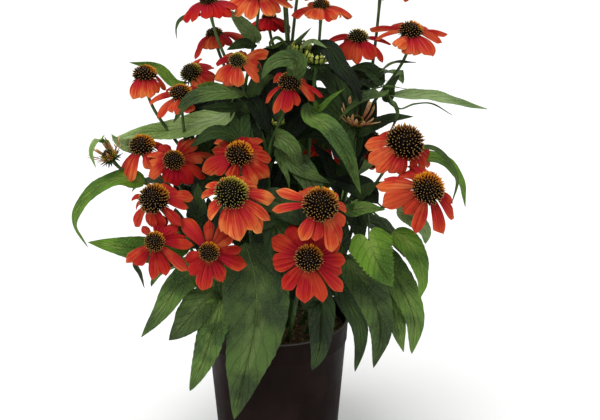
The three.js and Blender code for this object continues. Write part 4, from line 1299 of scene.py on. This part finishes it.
def make_soil():
    top = [(SOIL_RADIUS * (1 - i / SOIL_RINGS), SOIL_EDGE) for i in range(SOIL_RINGS + 1)]
    soil = spun("soil_body", SOIL_WALL + top, SOIL_STEPS)
    points = points_of(soil.data) / MM
    for point in points:
        if point[2] > SOIL_EDGE - 1:
            point[2] = soil_height(point[0], point[1])
    set_points(soil.data, points * MM)
    dress(soil, "soil", "soil", "soil", angle=180)


def make_crumbs(name, finish, count, smallest, largest):
    rng = random.Random(name)
    lump = take_mesh(added(bpy.ops.mesh.primitive_ico_sphere_add, subdivisions=1, radius=1))
    points = points_of(lump)
    crumbs = []
    for _ in range(count):
        turn, reach = rng.uniform(0, 2 * math.pi), (SOIL_RADIUS - 1) * math.sqrt(rng.random())
        x, y = reach * math.cos(turn), reach * math.sin(turn)
        size = rng.uniform(smallest, largest)
        shape = points * [size * rng.uniform(0.6, 1.3) for _ in range(3)]
        angle = rng.uniform(0, 6.28)
        axis = Vector([rng.uniform(-1, 1) for _ in range(3)]).normalized()
        shape = shape @ np.array(Matrix.Rotation(angle, 3, axis)) + (x, y, soil_height(x, y) + size * 0.2)
        crumbs.append(copy_of(lump, "crumb", shape * MM))
    dress(joined(crumbs, name), finish, "soil", angle=20)


make_pot()
make_soil()
for crumbs in CRUMBS:
    make_crumbs(*crumbs)

# ---------------------------------------------------------------- stage, light and camera


def make_floor():
    floor = added(bpy.ops.mesh.primitive_plane_add, size=14)
    floor.name = "pale_floor"
    look = Look("pale_floor", 0.9)
    look.put(look.shader["Base Color"], (0.965, 0.965, 0.965, 1))
    floor.data.materials.append(look.material)


def make_lamp(name, kind, place, aim, power, setting, value):
    lamp = bpy.data.lights.new(name, kind)
    lamp.energy = power
    setattr(lamp, setting, value)
    holder = linked(name, lamp)
    holder.location = place
    holder.rotation_euler = (Vector(aim) - Vector(place)).to_track_quat("-Z", "Y").to_euler()


def make_camera():
    lens = bpy.data.cameras.new("view")
    lens.lens = CAMERA_LENS
    lens.sensor_width = 36
    camera = linked("view", lens)
    camera.location = Vector(CAMERA_PLACE) * MM
    camera.rotation_euler = (math.pi / 2 - TILT, 0, 0)
    bpy.context.scene.camera = camera


def make_world():
    world = bpy.data.worlds.new("soft_light")
    world.use_nodes = True
    background = world.node_tree.nodes["Background"].inputs
    background["Color"].default_value = (1, 1, 1, 1)
    background["Strength"].default_value = 0.6
    bpy.context.scene.world = world
    bpy.context.scene.view_settings.view_transform = "Standard"


make_floor()
make_lamp("sky", "SUN", (-0.15, -0.2, 1.0), (0, 0, 0), 1.5, "angle", math.radians(50))
make_lamp("key", "AREA", (-1.1, -1.3, 1.9), (0, 0, 0.35), 8, "size", 1.4)
make_lamp("rim", "AREA", (0.5, 1.4, 1.9), (0, 0, 0.4), 9, "size", 1.4)
make_camera()
make_world()
